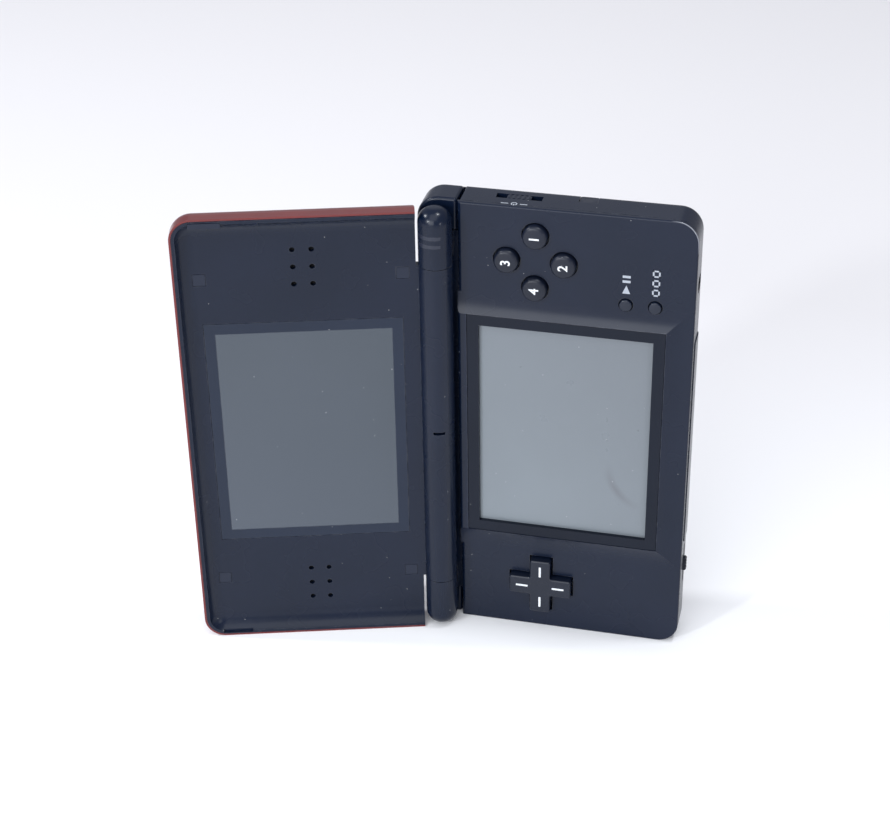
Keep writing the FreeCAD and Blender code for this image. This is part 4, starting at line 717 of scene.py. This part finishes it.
def printed_number(name, character, centre, up, body):
    """A number that stands on a face of the base, its foot away from the hinge."""
    curve = bpy.data.curves.new(name, "FONT")
    curve.body = character
    curve.size = 1.0
    curve.offset = NUMBER_BOLD
    curve.extrude = 0.5
    letter = bpy.data.objects.new(name + "_line", curve)
    mesh = bpy.data.meshes.new_from_object(letter)
    bpy.data.objects.remove(letter)
    xs = [point.co.x for point in mesh.vertices]
    ys = [point.co.y for point in mesh.vertices]
    scale = NUMBER_HEIGHT / (max(ys) - min(ys))
    points = []
    for point in mesh.vertices:
        across = (point.co.x - (min(xs) + max(xs)) / 2) * scale
        tall = (point.co.y - (min(ys) + max(ys)) / 2) * scale
        points.append(place("base", centre[0] - tall, up + PRINT_DEPTH * point.co.z, centre[1] + across))
    faces = [tuple(face.vertices) for face in mesh.polygons]
    bpy.data.meshes.remove(mesh)
    return make_piece(name, points, faces, body, "white_print")


for side, character in (("up", "1"), ("right", "2"), ("left", "3"), ("down", "4")):
    centre, top = key_tops[side]
    printed_number("number_" + character, character, centre, top + PRINT_GAP, "face_button_" + side)

# %% [markdown]
# ### Direction pad
# The pad is one cross with rounded arm ends and a soft edge all round, tipping on a ball under its middle.
# Its outline is a twelve-cornered polygon, and the same stack of rings gives it a wall, a rounded edge and
# a top. A disc below the deck is the skirt that closes the gap when the pad tips.

# %% Direction pad
pad_low, pad_high = base_box("direction_pad")
PAD_CENTRE = ((pad_low.x + pad_high.x) / 2, (pad_low.z + pad_high.z) / 2)
PAD_SPAN = 17.6
PAD_ARM = 5.8
PAD_CORNER = 0.55
PAD_EDGE = 0.5
SKIRT = 0.4
reach, half_arm = PAD_SPAN / 2, PAD_ARM / 2
pad_corners = [
    (-half_arm, -reach), (half_arm, -reach), (half_arm, -half_arm), (reach, -half_arm),
    (reach, half_arm), (half_arm, half_arm), (half_arm, reach), (-half_arm, reach),
    (-half_arm, half_arm), (-reach, half_arm), (-reach, -half_arm), (-half_arm, -half_arm),
]
pad_profile = [(0.0, pad_low.y + SKIRT)] + eased_edge(pad_high.y, PAD_EDGE)
cross = stack(facing("base", PAD_CENTRE, pad_profile, cornered_outline(pad_corners, PAD_CORNER)))
skirt_profile = [(0.0, pad_low.y), (0.0, pad_low.y + SKIRT)]
skirt = stack(facing("base", PAD_CENTRE, skirt_profile, round_outline((pad_high.x - pad_low.x) / 2)))
points, faces = joined([cross, skirt])
make_piece(
    "direction_pad_cross", points, faces, "direction_pad", "pad_plastic", ("direction_pad",)
)

# %% [markdown]
# Each arm of the pad carries a white dash. The real ones are pad-printed. A thin solid per dash, sunk a
# little into the pad so that no gap shows, stays sharp at any distance and needs no picture.

# %% Dashes on the direction pad
DASH_LONG = 3.4
DASH_WIDE = 0.6
DASH_OUT = 5.2
DASH_CORNER = 0.12
dashes = []
for turn in range(4):
    out = round(math.cos(turn * math.pi / 2))
    along = round(math.sin(turn * math.pi / 2))
    centre = (PAD_CENTRE[0] + out * DASH_OUT, PAD_CENTRE[1] + along * DASH_OUT)
    wide = DASH_LONG if out else DASH_WIDE
    tall = DASH_LONG if along else DASH_WIDE
    outline = box_outline(wide, tall, DASH_CORNER)
    profile = [(0.0, pad_high.y - PRINT_ROOT), (0.0, pad_high.y + PRINT_DEPTH)]
    dashes.append(stack(facing("base", centre, profile, outline)))
points, faces = joined(dashes)
make_piece("direction_pad_dashes", points, faces, "direction_pad", "white_print")
print("direction pad", len(points), "points in its dashes")

# %% [markdown]
# ### Printed signs
# Beside the menu keys and the power slide there is small pale printing. It stands here as plain signs that
# are common to all players: a triangle and two bars for start and pause, three squares for choosing, and a
# broken ring with a bar for power. Each sign is a thin solid that stands off the case by the ink's depth.

# %% Signs beside the menu keys
SIGN_GAP = 3.3
SIGN_CORNER = 0.06
SIGN_ARC = 3
TRIANGLE_HALF = 1.05
TRIANGLE_TALL = 2.4
BAR_WIDE = 2.1
BAR_LINE = 0.7
BAR_STEPS = (3.5, 4.9)
SQUARE_SIDE = 2.0
SQUARE_LINE = 0.42
SQUARE_STEP = 2.75


def sign(name, solids):
    """One piece of pale print on the base, from several thin solids."""
    points, faces = joined(solids)
    make_piece(name, points, faces, "base", "grey_print")


def flat_sign(centre, outline):
    """A flat mark on the deck."""
    profile = [(0.0, DECK_UP - PRINT_ROOT), (0.0, DECK_UP + PRINT_DEPTH)]
    return stack(facing("base", centre, profile, outline))


def frame_sign(centre, side, line):
    """A square ring on the deck, from four thin bars."""
    bars = []
    for turn in range(4):
        a = round(math.cos(turn * math.pi / 2)) * (side - line) / 2
        b = round(math.sin(turn * math.pi / 2)) * (side - line) / 2
        wide = line if a else side
        tall = line if b else side
        bars.append(flat_sign((centre[0] + a, centre[1] + b), box_outline(wide, tall, SIGN_CORNER, SIGN_ARC)))
    return bars


start_out, start_along = menu_centres["start"]
triangle_foot = start_along + SIGN_GAP


def triangle(inset):
    """A triangle that points along the hinge."""
    return [(-TRIANGLE_HALF + inset, inset), (TRIANGLE_HALF - inset, inset), (0.0, TRIANGLE_TALL - inset)]


start_marks = [flat_sign((start_out, triangle_foot), triangle)]
bar = box_outline(BAR_WIDE, BAR_LINE, SIGN_CORNER, SIGN_ARC)
start_marks += [flat_sign((start_out, triangle_foot + step), bar) for step in BAR_STEPS]
sign("start_sign", start_marks)
select_out, select_along = menu_centres["select"]
select_marks = []
for step in range(3):
    square_along = select_along + SIGN_GAP + SQUARE_SIDE / 2 + SQUARE_STEP * step
    select_marks += frame_sign((select_out, square_along), SQUARE_SIDE, SQUARE_LINE)
sign("select_sign", select_marks)
print(len(start_marks), "marks by one menu key,", len(select_marks), "bars by the other")

# %% [markdown]
# The power sign is on the end wall, beside the slide's slot. It is drawn in that wall's own two directions:
# out from the hinge, and down from the deck. A ring needs its own helper, since it has an inner edge.

# %% Sign beside the power slide
power_low, power_high = base_box("power_slider")
SIGN_UP = -5.3
SIGN_OUT = 19.8
RING_RADIUS = 0.58
RING_LINE = 0.26
RING_GAP = 0.5
STEM_UP = 0.5
STEM_LONG = 0.85
DASH_AWAY = 2.5
SIDE_DASH = (2.0, 0.32)


def on_end_wall(out, up, depth):
    """A point that stands off the end wall by that depth."""
    return place("base", out, up, LENGTH + depth)


def wall_mark(out, up, wide, tall):
    """A thin bar on the end wall."""
    outline = box_outline(wide, tall, SIGN_CORNER, SIGN_ARC)(0.0)
    rings = []
    for depth in (-PRINT_ROOT, PRINT_DEPTH):
        rings.append([on_end_wall(out + a, up + b, depth) for a, b in outline])
    return stack(rings)


def broken_ring(out, up, radius, line, gap_turn, steps=28):
    """A ring on the end wall that is open towards the deck."""
    first = math.pi / 2 + gap_turn
    last = math.pi * 2.5 - gap_turn
    far = radius + line
    section = ((radius, -PRINT_ROOT), (far, -PRINT_ROOT), (far, PRINT_DEPTH), (radius, PRINT_DEPTH))
    rings = []
    for step in range(steps + 1):
        turn = first + (last - first) * step / steps
        square = []
        for reach, depth in section:
            square.append(on_end_wall(out + reach * math.cos(turn), up + reach * math.sin(turn), depth))
        rings.append(square)
    return stack(rings)


power_marks = [
    broken_ring(SIGN_OUT, SIGN_UP, RING_RADIUS, RING_LINE, RING_GAP),
    wall_mark(SIGN_OUT, SIGN_UP + STEM_UP, RING_LINE, STEM_LONG),
    wall_mark(SIGN_OUT - DASH_AWAY, SIGN_UP, *SIDE_DASH),
    wall_mark(SIGN_OUT + DASH_AWAY, SIGN_UP, *SIDE_DASH),
]
sign("power_sign", power_marks)
print("power sign", len(power_marks), "marks at", SIGN_OUT, "mm out")

# %% [markdown]
# ### Slides
# The power slide and the volume slide are flat tongues that run behind the wall, with a raised grip that
# is cut into ridges for a fingertip. A ridged grip is one closed line, drawn in the plane that the ridges
# repeat in and then swept straight across, so the ridges are real and show in the outline.

# %% Ridged grips
GRIP_EASE = 0.12
END_SHARE = 1 - GRIP_EASE * 0.3
RIDGE_STEPS = 8


def ridged_line(start, end, foot, top, ridges, groove):
    """A closed line: a foot, and a top edge that rises and falls once for each ridge."""
    line = [(start, foot), (end, foot)]
    steps = ridges * RIDGE_STEPS
    for step in range(steps + 1):
        share = step / steps
        wave = groove * (0.5 - 0.5 * math.cos(2 * math.pi * ridges * share))
        line.append((end + (start - end) * share, top - groove + wave))
    return line


def swept(line, side_low, side_high, put):
    """The line swept from one side to the other; put gives each point its place."""
    middle = sum(a for a, b in line) / len(line)
    sides = (
        (side_low, END_SHARE),
        (side_low + GRIP_EASE, 1.0),
        (side_high - GRIP_EASE, 1.0),
        (side_high, END_SHARE),
    )
    rings = []
    for side, share in sides:
        rings.append([put(middle + (a - middle) * share, b, side) for a, b in line])
    return stack(rings)



def on_end(out, along, up):
    """A point of the power slide's grip, whose ridges repeat out from the hinge."""
    return place("base", out, up, along)


def on_front(along, out, up):
    """A point of the volume slide's knob, whose ridges repeat along the hinge."""
    return place("base", out, up, along)


# %% [markdown]
# The power slide is a tongue behind the end wall and a grip with five ridges in the slot. Both start from
# the measured slide's box, so the grip stands exactly as high as the measured one does.

# %% Power slide
POWER_UP = (power_low.y + power_high.y) / 2
POWER_OUT = (power_low.x + power_high.x) / 2
GRIP_HALF = 1.05
GRIP_LONG = 6.3
GRIP_RIDGES = 5
GRIP_GROOVE = 0.22
GRIP_ROOT = 0.6
TONGUE_DEEP = 0.7
TONGUE_CORNER = 0.4
grip_start = power_low.x + 0.4
grip_line = ridged_line(
    grip_start, grip_start + GRIP_LONG, power_low.z + GRIP_ROOT, power_high.z, GRIP_RIDGES, GRIP_GROOVE
)
grip = swept(grip_line, POWER_UP - GRIP_HALF, POWER_UP + GRIP_HALF, on_end)
tongue = box_outline(power_high.x - power_low.x, power_high.y - power_low.y, TONGUE_CORNER)(0.0)
tongue_rings = []
for along in (power_low.z, power_low.z + TONGUE_DEEP):
    tongue_rings.append([place("base", POWER_OUT + a, POWER_UP + b, along) for a, b in tongue])
points, faces = joined([grip, stack(tongue_rings)])
make_piece("power_slider_grip", points, faces, "power_slider", "soft_key", ("power_slider",))

print("power grip starts", round(grip_start, 1), "mm out")

# %% [markdown]
# The volume slide works the same way on the front wall, but its ridges repeat along the hinge and its knob
# stands a little proud of the case, so that a thumb finds it without looking.

# %% Volume slide
volume_low, volume_high = base_box("volume_slider")
VOLUME_MIDDLE = (volume_low.z + volume_high.z) / 2
VOLUME_UP = (volume_low.y + volume_high.y) / 2
KNOB_HALF = 2.1
NECK_HALF = 0.75
KNOB_RIDGES = 4
KNOB_GROOVE = 0.3
KNOB_ROOT = 0.5
PLATE_DEEP = 0.6
PLATE_CORNER = 0.3
knob_line = ridged_line(
    VOLUME_MIDDLE - KNOB_HALF,
    VOLUME_MIDDLE + KNOB_HALF,
    volume_low.x + KNOB_ROOT,
    volume_high.x,
    KNOB_RIDGES,
    KNOB_GROOVE,
)
knob = swept(knob_line, VOLUME_UP - NECK_HALF, VOLUME_UP + NECK_HALF, on_front)
plate = box_outline(volume_high.y - volume_low.y, volume_high.z - volume_low.z, PLATE_CORNER)(0.0)
plate_rings = []
for out in (volume_low.x, volume_low.x + PLATE_DEEP):
    plate_rings.append([place("base", out, VOLUME_UP + a, VOLUME_MIDDLE + b) for a, b in plate])
points, faces = joined([knob, stack(plate_rings)])
make_piece(
    "volume_slider_knob", points, faces, "volume_slider", "key_plastic", ("volume_slider",)
)
print("knob out to", round(volume_high.x, 2), "mm")

# %% [markdown]
# ### Stylus
# The stylus is a tapered stick with a square head that fills its recess in the end wall. Its rings change
# from a circle to a rounded square along the way. A superellipse does that with one number: at two it is
# a circle, and as it grows the sides straighten. The head's last rings drop away along the same arc as
# the case's rounded edge, so the two run on from each other.

# %% Stylus
stylus_low, stylus_high = base_box("stylus")
STYLUS_OUT = 38.2
STYLUS_UP = -12.3
STYLUS_POINTS = 48


def squarish(wide, tall, power):
    """Points of a superellipse with those half sizes."""
    found = []
    for k in range(STYLUS_POINTS):
        turn = 2 * math.pi * k / STYLUS_POINTS
        c, s = math.cos(turn), math.sin(turn)
        reach = (abs(c) ** power + abs(s) ** power) ** (-1 / power)
        found.append((wide * reach * c, tall * reach * s))
    return found


def stylus_ring(along, wide, low, high, power):
    """One ring of the stylus between those two heights; a higher power makes it squarer."""
    middle, tall = (low + high) / 2, (high - low) / 2
    return [place("base", STYLUS_OUT + a, middle + b, along) for a, b in squarish(wide, tall, power)]


UNDER_EDGE = 3.2
HEAD_LONG = 5.0
HEAD_HALF = 2.36
STICK_RADIUS = 2.18
CIRCLE = 2
SOFT_SQUARE = 6
SQUARE = 14
EDGE_STEPS = 8
SKIN = 0.02
stylus_start = stylus_low.z
stylus_end = stylus_high.z
tip = [(0.0, 0.25), (0.2, 0.55), (0.6, 0.78), (1.6, 0.85), (1.8, 0.95)]
taper = [(9.0, 1.75), (14.0, 2.05), (16.0, 2.15), (40.0, STICK_RADIUS)]
stick_end = (stylus_end - stylus_start - HEAD_LONG - 0.6, STICK_RADIUS)
stylus_rings = []
for step, radius in [*tip, *taper, stick_end]:
    low, high = STYLUS_UP - radius, STYLUS_UP + radius
    stylus_rings.append(stylus_ring(stylus_start + step, radius, low, high, CIRCLE))
head_top = STYLUS_UP + 2.15
head_start = stylus_end - HEAD_LONG
stylus_rings.append(stylus_ring(head_start, STICK_RADIUS, STYLUS_UP - STICK_RADIUS, head_top, SOFT_SQUARE))
stylus_rings.append(stylus_ring(head_start + SKIN, HEAD_HALF, UNDERSIDE + SKIN, head_top, SQUARE))
bend_start = LENGTH - UNDER_EDGE
for step in range(EDGE_STEPS + 1):
    along = bend_start + (stylus_end - bend_start) * step / EDGE_STEPS
    drop = UNDER_EDGE - math.sqrt(UNDER_EDGE ** 2 - (along - bend_start) ** 2)
    stylus_rings.append(stylus_ring(along, HEAD_HALF, UNDERSIDE + SKIN + drop, head_top, SQUARE))
points, faces = stack(stylus_rings)
make_piece("stylus_stick", points, faces, "stylus", "black_case", ("stylus",))
print("stylus", round(stylus_end - stylus_start, 1), "mm long,", len(stylus_rings), "rings")

# %% [markdown]
# ### Screws and feet
# The measured screws come as one group of separate solids, so the first step is to find the solids: points
# that share an edge belong together. Each screw is then rebuilt in its place with a head whose cross recess
# is real. The recess is one more ring in the stack: a circle's points are pulled in to a cross, then pushed
# down.

# %% Solids of a group


def solids_of(node):
    """Boxes, in base numbers, of the separate solids of a measured group."""
    work = bmesh.new()
    work.from_mesh(frame["nodes"][node].data)
    bmesh.ops.remove_doubles(work, verts=work.verts, dist=0.000001)
    seen = set()
    boxes = []
    for start in work.verts:
        if start in seen:
            continue
        group = []
        waiting = [start]
        seen.add(start)
        while waiting:
            point = waiting.pop()
            group.append(base_numbers(point.co))
            for edge in point.link_edges:
                other = edge.other_vert(point)
                if other not in seen:
                    seen.add(other)
                    waiting.append(other)
        boxes.append((Vector(map(min, *group)), Vector(map(max, *group))))
    work.free()
    return boxes


def cross_points(arm, width, count):
    """A plus sign with as many points as a circle has, each in the same direction from the middle."""
    found = []
    for k in range(count):
        turn = 2 * math.pi * k / count
        c, s = math.cos(turn), math.sin(turn)
        wide, narrow = max(abs(c), abs(s)), min(abs(c), abs(s))
        reach = arm / wide if narrow * arm <= width * wide else width / narrow
        found.append((reach * c, reach * s))
    return found


SCREW_HEAD = 1.7
SCREW_THREAD = 0.8
HEAD_DEEP = 0.8
THREAD_END = 0.8
# Arm and width of the cross as shares of the head's radius, and how deep that ring lies.
CROSS_RINGS = ((0.62, 0.19, 0.0), (0.5, 0.13, 0.5))


def cross_screw(low, high):
    """One screw that stands up into the base, its head down."""
    centre = ((low.x + high.x) / 2, (low.z + high.z) / 2)
    face = low.y
    thread_inset = SCREW_HEAD - SCREW_THREAD
    profile = [(SCREW_HEAD - SCREW_THREAD / 2, high.y), (thread_inset, high.y - THREAD_END)]
    profile += [(thread_inset, face + HEAD_DEEP), (0.0, face + HEAD_DEEP), (0.0, face + 0.2), (0.2, face)]
    rings = facing("base", centre, profile, round_outline(SCREW_HEAD))
    for arm, width, depth in CROSS_RINGS:
        ring = cross_points(arm * SCREW_HEAD, width * SCREW_HEAD, ROUND_POINTS)
        rings.append([place("base", centre[0] + a, face + depth, centre[1] + b) for a, b in ring])
    return stack(rings)


for node in ("base_screws", "battery_cover_screw"):
    screws = [cross_screw(low, high) for low, high in solids_of(node)]
    points, faces = joined(screws)
    make_piece(node + "_cross", points, faces, "base", "steel", (node,))
    print(node, len(screws))

# %% [markdown]
# The rubber feet are low discs with a soft edge and a shallow dish in the middle, glued into seats in the
# underside. They come as one group too, and each gets its disc in its measured place.

# %% Rubber feet
feet = []
for low, high in solids_of("rubber_feet"):
    centre = ((low.x + high.x) / 2, (low.z + high.z) / 2)
    radius = (high.x - low.x) / 2
    profile = [(0.0, high.y), (0.0, low.y + 0.2), (0.08, low.y + 0.06), (0.25, low.y), (radius * 0.6, low.y)]
    profile.append((radius * 0.7, low.y + 0.05))
    feet.append(stack(facing("base", centre, profile, round_outline(radius))))
points, faces = joined(feet)
make_piece("rubber_feet_discs", points, faces, "base", "seal_rubber", ("rubber_feet",))
print("feet", len(feet))
